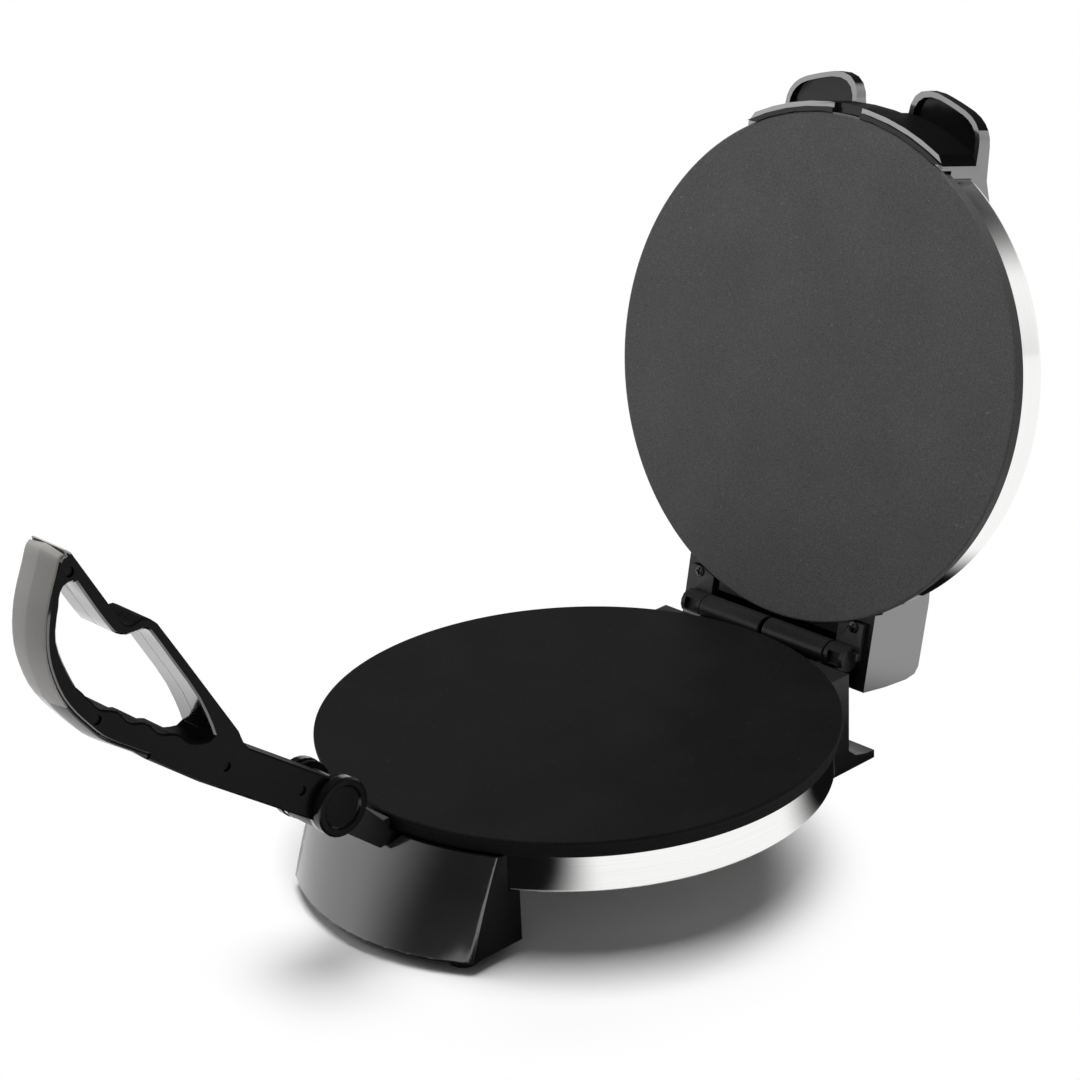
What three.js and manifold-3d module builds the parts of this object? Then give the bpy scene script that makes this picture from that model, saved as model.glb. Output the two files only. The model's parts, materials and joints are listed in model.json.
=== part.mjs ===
// Electric roti maker: two round plates in a stainless body, a lid on a rear hinge and a lever handle
// that swings over the closed lid. Millimetres, +Z up, the lever towards -Y, the hinge towards +Y.
// Everything is drawn about the centre of the lower plate, with Z zero on its cooking face.
import * as THREE from "three";
import { mergeVertices } from "three/addons/utils/BufferGeometryUtils.js";
import Module from "manifold-3d";

// Driving dimensions

const plateRadius = 152.5;
const plateThickness = 4;
const plateEdge = 2.6;
const plateRound = 1.2;
const rimStep = 1.8;
const rimRadius = plateRadius - rimStep;
const rimWall = 4;
const rimHeight = 10;
const postRadius = 5;

const bandStep = 2.2;
const bandRadius = rimRadius - bandStep;
const bandHeight = 22.7;
const bandTaper = 0.8;
const sheet = 0.9;
const bandFlange = 10;
const bandSeat = 5.5;

const elementInset = 57.5;
const elementRadius = plateRadius - elementInset;
const elementTube = 3.3;
const elementGap = 0.18;
const elementTail = 32;
const clampInner = 40;
const clampOverlap = 9;
const clampOuter = elementRadius + clampOverlap;
const clampSheet = 1.2;
const clampPostInset = 33;
const clampPostRing = elementRadius - clampPostInset;
const coverPostInset = 23.5;
const coverPostRing = bandRadius - coverPostInset;
const thermostatRadius = 9;
const thermostatHeight = 8;
const thermostatTaper = 1.5;

const legHalfWidth = 75;
const legWall = 3;
const legDepth = 32.5;
const legBack = plateRadius - legDepth;
const legBottom = 68;
const footHeight = 6;
const footRadius = 10;
const footTaper = 1.5;
const footStem = 3;
const footStemLength = 3.5;
const footInset = 17;
const footX = legHalfWidth - footInset;
const footBossRadius = 8;
const footBossHeight = 14;
const housingScrewX = 48.7;
const housingScrewInset = 6;
const housingScrewRing = bandRadius - housingScrewInset;
const housingScrewY = Math.sqrt(housingScrewRing ** 2 - housingScrewX ** 2);
const housingScrewLength = 8;
const coverScrewLength = 12;

const frontLip = 1.5;
const frontTopRadius = plateRadius + frontLip;
const frontRake = 25.5;
const frontBottomReach = frontTopRadius + frontRake;
const frontTighter = 23;
const frontBottomRadius = frontTopRadius - frontTighter;
const frontBulge = 1;
const frontCorner = 4;
const frontChamfer = 1.5;
const frontFootBack = 28;
const frontFootY = -legBack - frontFootBack;
const notchBottomHalf = 10.3;
const notchTopHalf = 17;
const notchDepth = 6.7;

const rearSkin = 2.5;
const rearWallY = bandRadius + rearSkin;
const rearTop = 4.2;
const flareOut = 23;
const flareReach = rearWallY + flareOut;
const flareHeight = 13;
const flareEdge = 5;
const rearFootOut = 9;
const rearFootY = rearWallY + rearFootOut;
const glandRadius = 5;
const glandBore = 3;
const glandLip = 2.5;
const glandStem = 5;
const glandZ = -47;
const terminalHalf = 20;
const terminalDepth = 14;
const terminalHeight = 13;

const hingeOut = 11.4;
const hingeY = rearWallY + hingeOut;
const hingeZ = -1.9;
const pinRadius = 2.8;
const pinCap = 2;
const barrelRadius = 6.4;
const barrelInner = 1.5;
const barrelOuter = 50;
const ribThickness = 3;
const ribCount = 4;
const saddleDrop = 24;
const knuckleRadius = 7.7;
const knuckleGap = 0.9;
const knuckleLength = 15;
const knuckleOuter = barrelOuter + knuckleGap + knuckleLength;
const lidOpenDegrees = 102.86;

const lidGap = 0.8;
const coverWallHeight = 19;
const domeHeight = 51;
const lidWallStep = 6;
const lidHousingRadius = plateRadius + lidWallStep;
const collarStep = 3;
const collarRadius = plateRadius + collarStep;
const collarHeight = 1;
const lidNotchHalf = 10.5;
const lidNotchHeight = 5;
const lidScrewX = 30;
const lidScrewZ = 22;
const lidScrewLength = 10;
const troughFloor = 26;
const troughRise = 22;
const crownRise = 10.8;
const earReach = 18;
const earRadius = lidHousingRadius + earReach;
const earInner = 20;
const earBottom = 33;
const earEdgeTop = 40;
const earInnerCorner = 20;
const earOuterCorner = 13;
const earRim = 3;
const earHollow = 3.5;
const lidRearOut = 18.6;
const lidRearReach = hingeY + lidRearOut;
const lidRearBottom = 4;
const lidRearTop = 54;
const pocketHeight = 14;
const tabOuter = 70;
const tabLength = 22.4;
const tabNear = hingeY - tabLength;
const tabThickness = 2.9;
const tabScrewInset = 7.3;
const tabScrewX = tabOuter - tabScrewInset;
const tabScrewBack = 3.2;
const tabScrewY = tabNear + tabScrewBack;
const tabScrewSink = 1.9;
const tabScrewLength = 10;

const pivotOut = 41.2;
const pivotY = -plateRadius - pivotOut;
const pivotZ = 24.1;
const handleHalf = 14;
const cheek = 3.7;
const seat = 0.3;
const bracketHalf = handleHalf - cheek - seat;
const bracketTongue = 5;
const tongueLow = -32;
const ledgeTop = -1;
const ledgeDepth = 4.5;
const bracketScrewX = [5, -5];
const bracketScrewZ = -24;
const eyeRadius = 12.7;
const pivotBarrel = 16.5;
const stopRadius = pivotBarrel - seat;
const webHalfDegrees = 50;
const armDegrees = 35.4;
const armHalf = 12.2;
const handleSwingDegrees = 114.7;
const stopSlackDegrees = 0.5;
const axleRadius = 4;
const capRadius = 17;
const capThickness = 5.7;
const capRim = 4.5;
const capRecess = 1.5;
const capSocket = 3;
const handleReach = 174.2;
const handleRise = 199.3;
const gripSkin = 2.6;
const shellRound = 1;
const coreFrom = 36;
const coreTo = 78;
const coreHalf = 8.5;
const handleScrewHead = 2.6;
const handleScrewSink = 4;
const handleScrewLength = 12;
const fingerDegrees = 36.3;
const fingerPitch = 22;
const fingerDepth = 2.8;

const screwRadius = 2;
const screwHeadRadius = 3.4;
const screwHead = 2.4;
const overrun = 2;

const bigSides = 48;
const smallSides = 14;
const screwSides = 8;

// Materials

const paint = (color, roughness, metalness) =>
  new THREE.MeshStandardMaterial({ color, roughness, metalness });
const blackPlate = paint(0x17171a, 0.6, 0.3);
const greyPlate = paint(0x45464a, 0.6, 0.3);
const stainless = paint(0xc9cacb, 0.22, 1);
const blackPlastic = paint(0x0b0b0c, 0.18, 0);
const greyGrip = paint(0x87827d, 0.45, 0);
const steel = paint(0x8f9194, 0.35, 1);
const darkSteel = paint(0x2c2c2e, 0.4, 1);
const aluminium = paint(0xb4b6b8, 0.4, 1);
const rubber = paint(0x161616, 0.9, 0);
const ceramic = paint(0xe2ddd0, 0.6, 0);

// Shapes are three.js geometry. Joins and cuts turn them into solids, and a piece turns back into geometry.

const wasm = await Module();
wasm.setup();
const weld = 1e-4;

function solidOf(shape) {
  if (!shape.isBufferGeometry) return shape;
  const bare = shape.index ? shape.toNonIndexed() : shape.clone();
  bare.deleteAttribute("normal");
  bare.deleteAttribute("uv");
  const merged = mergeVertices(bare, weld);
  const corners = merged.index.array;
  const kept = [];
  for (let i = 0; i < corners.length; i += 3) {
    const [a, b, c] = [corners[i], corners[i + 1], corners[i + 2]];
    if (a !== b && b !== c && c !== a) kept.push(a, b, c);
  }
  return new wasm.Manifold(
    new wasm.Mesh({
      numProp: 3,
      vertProperties: merged.attributes.position.array,
      triVerts: new Uint32Array(kept),
    }),
  );
}

function geometryOf(solid) {
  const { vertProperties, triVerts } = solid.getMesh();
  const geometry = new THREE.BufferGeometry();
  geometry.setAttribute("position", new THREE.BufferAttribute(vertProperties, 3));
  geometry.setIndex(new THREE.BufferAttribute(triVerts, 1));
  geometry.computeVertexNormals();
  return geometry;
}

const join = (...shapes) => shapes.map(solidOf).reduce((sum, next) => sum.add(next));
const cut = (...shapes) => shapes.map(solidOf).reduce((rest, next) => rest.subtract(next));
const shared = (...shapes) => shapes.map(solidOf).reduce((rest, next) => rest.intersect(next));

// Angles are written in degrees and turned to radians here.
const radians = THREE.MathUtils.degToRad;

// A flat outline from pairs of coordinates
const outline = (pairs) => new THREE.Shape(pairs.map(([a, b]) => new THREE.Vector2(a, b)));

const raised = (shape, depth) =>
  new THREE.ExtrudeGeometry(shape, { depth, bevelEnabled: false, curveSegments: 5 });

// An outline drawn in X and Y, raised from one height to another
const alongZ = (shape, low, high) => raised(shape, high - low).translate(0, 0, low);

// An outline drawn in X and Z, swept from one Y to another
const alongY = (shape, from, to) =>
  raised(shape, to - from).rotateX(Math.PI / 2).translate(0, to, 0);

// An outline drawn in Y and Z, swept sideways from one X to another
const sideways = new THREE.Matrix4().makeBasis(
  new THREE.Vector3(0, 1, 0),
  new THREE.Vector3(0, 0, 1),
  new THREE.Vector3(1, 0, 0),
);
const alongX = (shape, from, to) =>
  raised(shape, Math.abs(to - from)).applyMatrix4(sideways).translate(Math.min(from, to), 0, 0);

// A profile of radius and height turned about Z
function turned(pairs, sides = bigSides) {
  const points = pairs.map(([radius, height]) => new THREE.Vector2(radius, height));
  if (THREE.ShapeUtils.area(points) < 0) points.reverse();
  if (points[0].x > 0) points.push(points[0].clone());
  return new THREE.LatheGeometry(points, sides).rotateX(Math.PI / 2);
}

// A round bar from one height to another
const bar = (radius, low, high, sides = smallSides) =>
  turned([[0, low], [radius, low], [radius, high], [0, high]], sides);

const barX = (radius, y, z, from, to, sides = smallSides) =>
  bar(radius, Math.min(from, to), Math.max(from, to), sides).rotateY(Math.PI / 2).translate(0, y, z);

const barY = (radius, x, z, from, to, sides = smallSides) =>
  bar(radius, from, to, sides).rotateX(-Math.PI / 2).translate(x, 0, z);

// A screw along Z with its head below zero
const screwShape = (length, headRadius = screwHeadRadius) =>
  turned([
    [0, -screwHead],
    [headRadius, -screwHead],
    [headRadius, 0],
    [screwRadius, 0],
    [screwRadius, length],
    [0, length],
  ], screwSides);

// The same shape on the other side of the middle plane
function mirrored(shape) {
  const copy = (shape.index ? shape.toNonIndexed() : shape.clone()).scale(-1, 1, 1);
  const corners = copy.attributes.position;
  const corner = new THREE.Vector3();
  const next = new THREE.Vector3();
  for (let i = 0; i < corners.count; i += 3) {
    corner.fromBufferAttribute(corners, i);
    next.fromBufferAttribute(corners, i + 1);
    corners.setXYZ(i, ...next);
    corners.setXYZ(i + 1, ...corner);
  }
  return copy;
}

// Sections of equal point count in level planes, joined from the lowest up and closed at both ends
function stacked(sections) {
  const count = sections[0].points.length;
  const positions = sections.flatMap(({ z, points }) => points.flatMap(([x, y]) => [x, y, z]));
  const faces = [];
  for (let level = 0; level + 1 < sections.length; level += 1) {
    for (let i = 0; i < count; i += 1) {
      const a = level * count + i;
      const b = level * count + ((i + 1) % count);
      faces.push(a, b, b + count, a, b + count, a + count);
    }
  }
  const flat = (level) => sections[level].points.map(([x, y]) => new THREE.Vector2(x, y));
  const last = sections.length - 1;
  for (const [a, b, c] of THREE.ShapeUtils.triangulateShape(flat(0), [])) faces.push(a, c, b);
  for (const corner of THREE.ShapeUtils.triangulateShape(flat(last), [])) {
    faces.push(...corner.map((i) => last * count + i));
  }
  const geometry = new THREE.BufferGeometry();
  geometry.setAttribute("position", new THREE.Float32BufferAttribute(positions, 3));
  geometry.setIndex(faces);
  return geometry;
}

// The depth of a circle of this radius in front of its centre, at this distance to the side
const depthAt = (radius, x) => Math.sqrt(radius ** 2 - x ** 2);

// The scene: the base stands still, the lid turns about the rear hinge, the handle about its pivot

const rotiMaker = new THREE.Group();
const base = new THREE.Group();
const lidHinge = new THREE.Group();
const lid = new THREE.Group();
const handle = new THREE.Group();
rotiMaker.add(base, lidHinge, handle);
lidHinge.add(lid);
lidHinge.position.set(0, hingeY, hingeZ);
lidHinge.rotation.x = -radians(lidOpenDegrees);
lid.position.set(0, -hingeY, -hingeZ);
handle.position.set(0, pivotY, pivotZ);

function piece(group, name, shape, material) {
  const mesh = new THREE.Mesh(geometryOf(solidOf(shape)), material);
  mesh.name = name;
  group.add(mesh);
}

// Left and right copies of a piece take these names and signs.
const sidePairs = [["right", 1], ["left", -1]];
const ends = [["front", -1], ["rear", 1]];
const housingScrews = [-1, 1].flatMap((end) =>
  [1, -1].map((side) => ({ end, side, x: side * housingScrewX, y: end * housingScrewY })),
);
const lidScrewPlaces = [-1, 1].flatMap((end) =>
  [1, -1].map((side) => ({ end, x: side * lidScrewX })),
);

// The lever's web, as angles about the pivot at rest, measured from +Y towards +Z
const webStart = 180 - armDegrees - webHalfDegrees;
const webEnd = 180 - armDegrees + webHalfDegrees;

// Cooking plates: a flat face over a shorter rim, with posts for the clamp ring and the bottom cover

const clampTop = -(plateThickness + 2 * elementTube + 2 * elementGap);
const clampAngles = [90, 210, 330];
const coverAngles = [45, 135, 225, 315];
const bandTop = -(rimHeight + seat);
const bandBottom = bandTop - bandHeight;
const coverBottom = bandBottom + sheet + seat;
const coverTop = coverBottom + clampSheet;
const atAngle = (radius, degrees) => [
  radius * Math.cos(radians(degrees)),
  radius * Math.sin(radians(degrees)),
];

function plateShape(postLists) {
  const disc = turned([
    [0, 0],
    [plateRadius - plateRound, 0],
    [plateRadius, -plateRound],
    [plateRadius, -plateEdge],
    [rimRadius, -plateEdge],
    [rimRadius, -rimHeight],
    [rimRadius - rimWall, -rimHeight],
    [rimRadius - rimWall, -plateThickness],
    [0, -plateThickness],
  ]);
  const posts = postLists.flatMap(({ ring, angles, low }) =>
    angles.map((angle) => bar(postRadius, low, -plateThickness / 2).translate(...atAngle(ring, angle), 0)),
  );
  const bores = postLists.flatMap(({ ring, angles, low }) =>
    angles.map((angle) =>
      bar(screwRadius + seat, low - overrun, -plateThickness - seat, screwSides)
        .translate(...atAngle(ring, angle), 0),
    ),
  );
  return cut(join(disc, ...posts), ...bores);
}
const clampPosts = { ring: clampPostRing, angles: clampAngles, low: clampTop + seat };
const coverPosts = { ring: coverPostRing, angles: coverAngles, low: coverTop + seat };

// Heating element: a bent tube close under the plate, its two tails running out to the rear
const elementOpenDegrees = 9;

function elementShape() {
  const arc = [];
  const arcSteps = 32;
  for (let i = 0; i <= arcSteps; i += 1) {
    const turn = 90 + elementOpenDegrees + ((360 - 2 * elementOpenDegrees) * i) / arcSteps;
    arc.push(new THREE.Vector3(...atAngle(elementRadius, turn), 0));
  }
  const tail = new THREE.Vector3(0, elementTail, 0);
  const points = [arc[0].clone().add(tail), ...arc, arc[arcSteps].clone().add(tail)];
  const path = new THREE.CatmullRomCurve3(points, false, "centripetal");
  const section = new THREE.Shape().absarc(0, 0, elementTube, 0, 2 * Math.PI);
  const height = -(plateThickness + elementGap + elementTube);
  return new THREE.ExtrudeGeometry(section, {
    extrudePath: path,
    steps: arcSteps,
    curveSegments: 4,
    bevelEnabled: false,
  }).translate(0, 0, height);
}

const clampShape = () =>
  cut(
    turned([
      [clampInner, clampTop],
      [clampOuter, clampTop],
      [clampOuter, clampTop - clampSheet],
      [clampInner, clampTop - clampSheet],
    ], bigSides / 2),
    ...clampAngles.map((angle) =>
      bar(screwRadius + seat, clampTop - clampSheet - overrun, clampTop + overrun, screwSides)
        .translate(...atAngle(clampPostRing, angle), 0),
    ),
  );

const clampScrewLength = clampSheet + elementTube;
const thermostatShape = () =>
  turned([
    [0, -plateThickness - seat],
    [thermostatRadius, -plateThickness - seat],
    [thermostatRadius, -plateThickness - seat - thermostatHeight / 2],
    [thermostatRadius - thermostatTaper, -plateThickness - seat - thermostatHeight],
    [0, -plateThickness - seat - thermostatHeight],
  ], smallSides);

// Everything fixed under a plate, drawn for the lower one, and turned over for the upper one
function heaterSet(prefix, group, place) {
  piece(group, `${prefix}_element`, place(elementShape()), steel);
  piece(group, `${prefix}_element_clamp`, place(geometryOf(clampShape())), aluminium);
  piece(group, `${prefix}_thermostat`, place(thermostatShape()), ceramic);
  clampAngles.forEach((angle, index) => {
    const screw = screwShape(clampScrewLength)
      .translate(...atAngle(clampPostRing, angle), clampTop - clampSheet - seat);
    piece(group, `${prefix}_clamp_screw_${index + 1}`, place(screw), steel);
  });
}

// Stainless band: a rolled seat under the plate rim and a flange under the bottom cover
function bandShape() {
  const low = bandRadius - bandTaper;
  return cut(
    turned([
      [bandRadius - bandSeat, bandTop],
      [bandRadius, bandTop],
      [low, bandBottom],
      [low - bandFlange, bandBottom],
      [low - bandFlange, bandBottom + sheet],
      [low - sheet, bandBottom + sheet],
      [bandRadius - sheet, bandTop - sheet],
      [bandRadius - bandSeat, bandTop - sheet],
    ]),
    ...housingScrews.map(({ x, y }) =>
      bar(screwRadius + seat, bandBottom - overrun, bandBottom + overrun, screwSides).translate(x, y, 0),
    ),
    ...bracketScrewX.map((x) =>
      barY(screwRadius + seat, x, bracketScrewZ, -bandRadius - overrun, -bandRadius + 2 * overrun, screwSides),
    ),
  );
}

function bottomCoverShape() {
  const radius = bandRadius - bandTaper - sheet - seat;
  const holes = [
    ...coverAngles.map((angle) => atAngle(coverPostRing, angle)),
    ...housingScrews.map(({ x, y }) => [x, y]),
  ].map(([x, y]) =>
    bar(screwRadius + seat, coverBottom - overrun, coverTop + overrun, screwSides).translate(x, y, 0),
  );
  return cut(bar(radius, coverBottom, coverTop, bigSides), ...holes);
}

// The round body as it is cut out of the housings, grown by a clearance
const bodyRelief = (gap) =>
  turned([
    [0, bandBottom - gap],
    [bandRadius + gap, bandBottom - gap],
    [bandRadius + gap, bandTop - gap],
    [plateRadius + gap, bandTop - gap],
    [plateRadius + gap, overrun],
    [0, overrun],
  ]);

// Leg housings are open below. A foot boss stands in each corner.
const legFloor = -legBottom;
const footBosses = (y) =>
  [footX, -footX].map((x) => bar(footBossRadius, legFloor, legFloor + footBossHeight).translate(x, y, 0));
const footBores = (y) =>
  [footX, -footX].map((x) =>
    bar(footStem + seat, legFloor - overrun, legFloor + footStemLength + seat).translate(x, y, 0),
  );
const legScrewBores = (wantedEnd) =>
  housingScrews
    .filter(({ end }) => end === wantedEnd)
    .map(({ x, y }) =>
      bar(screwRadius + seat, bandBottom - legWall - overrun, bandBottom + overrun, screwSides)
        .translate(x, y, 0),
    );

// Front leg housing: the front face runs from the plate's circle down to a tighter, further arc
function frontSection(z, inset) {
  const top = bandTop;
  const drop = (top - z) / (top - legFloor);
  const bulge = frontBulge * 4 * drop * (1 - drop);
  const reach = THREE.MathUtils.lerp(frontTopRadius, frontBottomReach, drop) + bulge - inset;
  const radius = THREE.MathUtils.lerp(frontTopRadius, frontBottomRadius, drop);
  const half = legHalfWidth - inset;
  const faceY = (x) => radius - reach - depthAt(radius, x);
  const faceSteps = 10;
  const turn = half - frontCorner;
  const points = [];
  for (let i = 0; i <= faceSteps; i += 1) {
    const x = turn * ((2 * i) / faceSteps - 1);
    points.push([x, faceY(x)]);
  }
  points.push([half - frontCorner / 4, faceY(half) + frontCorner / 4]);
  points.push([half, faceY(half) + frontCorner]);
  points.push([half, -legBack - inset]);
  points.push([-half, -legBack - inset]);
  points.push([-half, faceY(half) + frontCorner]);
  points.push([frontCorner / 4 - half, faceY(half) + frontCorner / 4]);
  return points;
}

function frontBlock(inset, low, lowInset) {
  const levels = 3;
  const bottom = low + frontChamfer;
  const sections = [{ z: low, points: frontSection(low, lowInset) }];
  for (let i = 0; i <= levels; i += 1) {
    const z = bottom + ((bandTop - inset - bottom) * i) / levels;
    sections.push({ z, points: frontSection(z, inset) });
  }
  return stacked(sections);
}

function frontHousingShape() {
  const notchLow = bandTop - notchDepth;
  const notch = alongY(outline([
    [-notchBottomHalf, notchLow],
    [notchBottomHalf, notchLow],
    [notchTopHalf, bandTop],
    [notchTopHalf, bandTop + overrun],
    [-notchTopHalf, bandTop + overrun],
    [-notchTopHalf, bandTop],
  ]), -frontBottomReach, -bandRadius + overrun);
  const tongueRoom = alongX(outline([
    [-bandRadius + overrun, tongueLow - seat],
    [-bandRadius - bracketTongue - 2 * seat, tongueLow - seat],
    [-bandRadius - bracketTongue - 2 * seat, notchLow + seat],
    [-bandRadius + overrun, notchLow + seat],
  ]), -notchBottomHalf, notchBottomHalf);
  const shell = cut(
    frontBlock(0, legFloor, frontChamfer),
    cut(frontBlock(legWall, legFloor - overrun, legWall), bodyRelief(seat + legWall)),
  );
  const room = frontBlock(legWall / 2, legFloor, legWall);
  const ribs = [footX, -footX].map((x) =>
    alongX(outline([
      [-frontBottomReach, legFloor + legWall],
      [-legBack, legFloor + legWall],
      [-legBack, bandBottom - seat],
      [-frontBottomReach, bandBottom - seat],
    ]), x - ribThickness / 2, x + ribThickness / 2),
  );
  const inside = shared(join(...ribs, ...footBosses(frontFootY)), room);
  return cut(
    join(shell, inside),
    bodyRelief(seat),
    notch,
    tongueRoom,
    ...footBores(frontFootY),
    ...legScrewBores(-1),
  );
}

// Rear leg housing: a level top behind the plate, an upright wall and a flared foot. Along the top runs a
// pair of hinge barrels on a saddle and ribs, which stop the open lid.
function rearProfile(inset, lift) {
  const low = legFloor - lift;
  const flareTop = legFloor + flareHeight;
  return outline([
    [legBack - bandFlange + inset, -rearTop - inset],
    [rearWallY - inset, -rearTop - inset],
    [rearWallY - inset, flareTop],
    [rearWallY - inset + flareHeight * 0.45, legFloor + flareEdge * 1.6 - inset],
    [rearWallY - inset + flareHeight * 1.15, legFloor + flareEdge * 1.14 - inset],
    [flareReach - inset, legFloor + flareEdge - inset],
    [flareReach - inset, low],
    [legBack + inset, low],
    [legBack + inset, bandBottom - seat - inset],
    [legBack - bandFlange + inset, bandBottom - seat - inset],
  ]);
}

const openPlane = (closedY) => {
  const turn = -radians(lidOpenDegrees);
  const [y, z] = [closedY - hingeY, lidRearBottom - hingeZ];
  return [
    hingeY + y * Math.cos(turn) - z * Math.sin(turn),
    hingeZ + y * Math.sin(turn) + z * Math.cos(turn),
  ];
};

function rearHousingShape() {
  const shell = cut(
    alongX(rearProfile(0, 0), -legHalfWidth, legHalfWidth),
    cut(
      alongX(rearProfile(legWall, overrun), legWall - legHalfWidth, legHalfWidth - legWall),
      bodyRelief(seat + legWall),
    ),
  );
  const [stopLowY, stopLowZ] = openPlane(lidRearReach);
  const [stopTopY, stopTopZ] = openPlane(lidRearReach - legWall);
  const ribOutline = outline([
    [rearWallY - legWall / 2, -saddleDrop - barrelRadius * 2],
    [stopLowY - seat, stopLowZ - seat],
    [stopTopY - seat, stopTopZ],
    [hingeY + barrelRadius / 2, hingeZ - barrelRadius / 2],
    [hingeY, hingeZ],
    [hingeY - barrelRadius / 2, hingeZ],
    [rearWallY - legWall / 2, bandTop - seat],
  ]);
  const saddle = outline([
    [rearWallY - legWall / 2, -saddleDrop],
    [rearWallY, -saddleDrop],
    [hingeY + barrelRadius / 2, hingeZ - barrelRadius / 2],
    [hingeY - barrelRadius / 2, hingeZ],
    [rearWallY - legWall / 2, -saddleDrop + ribThickness * 2],
  ]);
  const barrels = sidePairs.flatMap(([, side]) => {
    const ribs = [];
    for (let i = 0; i < ribCount; i += 1) {
      const share = i / (ribCount - 1);
      const x = barrelInner + (barrelOuter - barrelInner - ribThickness) * share;
      ribs.push(alongX(ribOutline, side * x, side * (x + ribThickness)));
    }
    return [
      barX(barrelRadius, hingeY, hingeZ, side * barrelInner, side * barrelOuter, smallSides),
      alongX(saddle, side * barrelInner, side * barrelOuter),
      ...ribs,
    ];
  });
  const room = alongX(rearProfile(legWall / 2, 0), -legHalfWidth, legHalfWidth);
  const bosses = shared(join(...footBosses(rearFootY)), room);
  const ribs = [footX, -footX].map((x) =>
    alongX(outline([
      [legBack + legWall / 2, legFloor + legWall],
      [rearFootY, legFloor + legWall],
      [rearWallY - legWall / 2, legFloor + flareHeight],
      [rearWallY - legWall / 2, bandBottom - seat - legWall / 2],
      [legBack + legWall / 2, bandBottom - seat - legWall / 2],
    ]), x - ribThickness / 2, x + ribThickness / 2),
  );
  return cut(
    join(shell, ...barrels, bosses, ...ribs),
    bodyRelief(seat),
    barX(pinRadius + seat, hingeY, hingeZ, -barrelOuter - overrun, barrelOuter + overrun),
    barY(glandRadius + seat, 0, glandZ, rearWallY - legWall - overrun, rearWallY + overrun),
    ...footBores(rearFootY),
    ...legScrewBores(1),
  );
}

const footShape = () =>
  turned([
    [0, -legBottom - seat - footHeight],
    [footRadius - footTaper, -legBottom - seat - footHeight],
    [footRadius, -legBottom - seat],
    [footStem, -legBottom - seat],
    [footStem, footStemLength - legBottom],
    [0, footStemLength - legBottom],
  ], smallSides);

// Lever bracket: an eye on a shank that passes through the notch to a tongue against the band. The sector
// round the eye stops the lever at both ends of its swing.
function bracketShape() {
  const tongueBack = -bandRadius - seat;
  const tongueFront = tongueBack - bracketTongue;
  const rimBack = -frontTopRadius - seat;
  const notchLow = bandTop - notchDepth + seat;
  const stopFrom = webEnd + stopSlackDegrees;
  const stopTo = 360 + webStart - stopSlackDegrees - handleSwingDegrees;
  const aboutPivot = (radius, degrees) => {
    const [y, z] = atAngle(radius, degrees);
    return [pivotY + y, pivotZ + z];
  };
  const body = outline([
    [tongueBack, tongueLow],
    [tongueBack, bandTop - 2 * seat],
    [rimBack, bandTop - 2 * seat],
    [rimBack, ledgeTop],
    [rimBack - ledgeDepth, ledgeTop],
    aboutPivot(stopRadius + overrun, stopTo),
    aboutPivot(eyeRadius / 2, stopTo),
    [pivotY - eyeRadius * 0.4, pivotZ - eyeRadius * 0.9],
    [rimBack - ledgeDepth - bracketTongue * 0.6, notchLow - seat],
    [rimBack - ledgeDepth, notchLow],
    [tongueFront, notchLow],
    [tongueFront, tongueLow],
  ]);
  const sector = [[pivotY, pivotZ]];
  const sectorSteps = 16;
  for (let i = 0; i <= sectorSteps; i += 1) {
    sector.push(aboutPivot(stopRadius, stopFrom + ((stopTo - stopFrom) * i) / sectorSteps));
  }
  const screws = bracketScrewX.flatMap((x) => [
    barY(screwRadius + seat, x, bracketScrewZ, tongueFront - overrun, tongueBack + overrun, screwSides),
    barY(screwHeadRadius + seat, x, bracketScrewZ, tongueFront - overrun, tongueFront + screwHead + seat, screwSides),
  ]);
  return cut(
    join(
      alongX(body, -bracketHalf, bracketHalf),
      barX(eyeRadius, pivotY, pivotZ, -bracketHalf, bracketHalf, 2 * smallSides),
      alongX(outline(sector), -bracketHalf, bracketHalf),
    ),
    barX(axleRadius + seat, pivotY, pivotZ, -bracketHalf - overrun, bracketHalf + overrun),
    ...screws,
  );
}

// Lid cover: one drawn stainless sheet, an upright wall and a domed top, open below for the upper plate
const coverLow = lidGap + rimHeight + seat;
const domeShares = [[1, 0], [0.98, 0.2], [0.93, 0.5], [0.85, 0.75], [0.64, 0.92], [0, 1]];

function coverProfile(gap) {
  const shoulder = coverLow + coverWallHeight;
  const rise = domeHeight - shoulder;
  const dome = domeShares.map(([out, up]) => [out * (bandRadius + gap), shoulder + up * (rise + gap)]);
  return [[bandRadius + gap, coverLow - gap], ...dome];
}

function lidCoverShape() {
  const inner = coverProfile(-sheet).slice(1);
  const seatInner = bandRadius - bandSeat;
  const wall = turned([
    ...coverProfile(0),
    ...inner.reverse(),
    [bandRadius - sheet, coverLow + sheet],
    [seatInner, coverLow + sheet],
    [seatInner, coverLow],
  ]);
  return cut(wall, ...lidScrewPlaces.map(({ x, end }) =>
    barY(
      screwRadius + seat,
      x,
      lidScrewZ,
      Math.min(0, end * (bandRadius + overrun)),
      Math.max(0, end * (bandRadius + overrun)),
      screwSides,
    ),
  ));
}

// The lid's round body as it is cut out of its housings, grown by a clearance
const lidRelief = (gap) =>
  turned([
    [0, -overrun],
    [plateRadius + gap, -overrun],
    [plateRadius + gap, coverLow - gap],
    ...coverProfile(gap),
  ]);

const lidScrewBores = (wantedEnd) =>
  lidScrewPlaces
    .filter(({ end }) => end === wantedEnd)
    .map(({ x, end }) => {
      const far = end * (bandRadius + seat + lidScrewLength / 2);
      return barY(screwRadius + seat, x, lidScrewZ, Math.min(0, far), Math.max(0, far), screwSides);
    });

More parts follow.
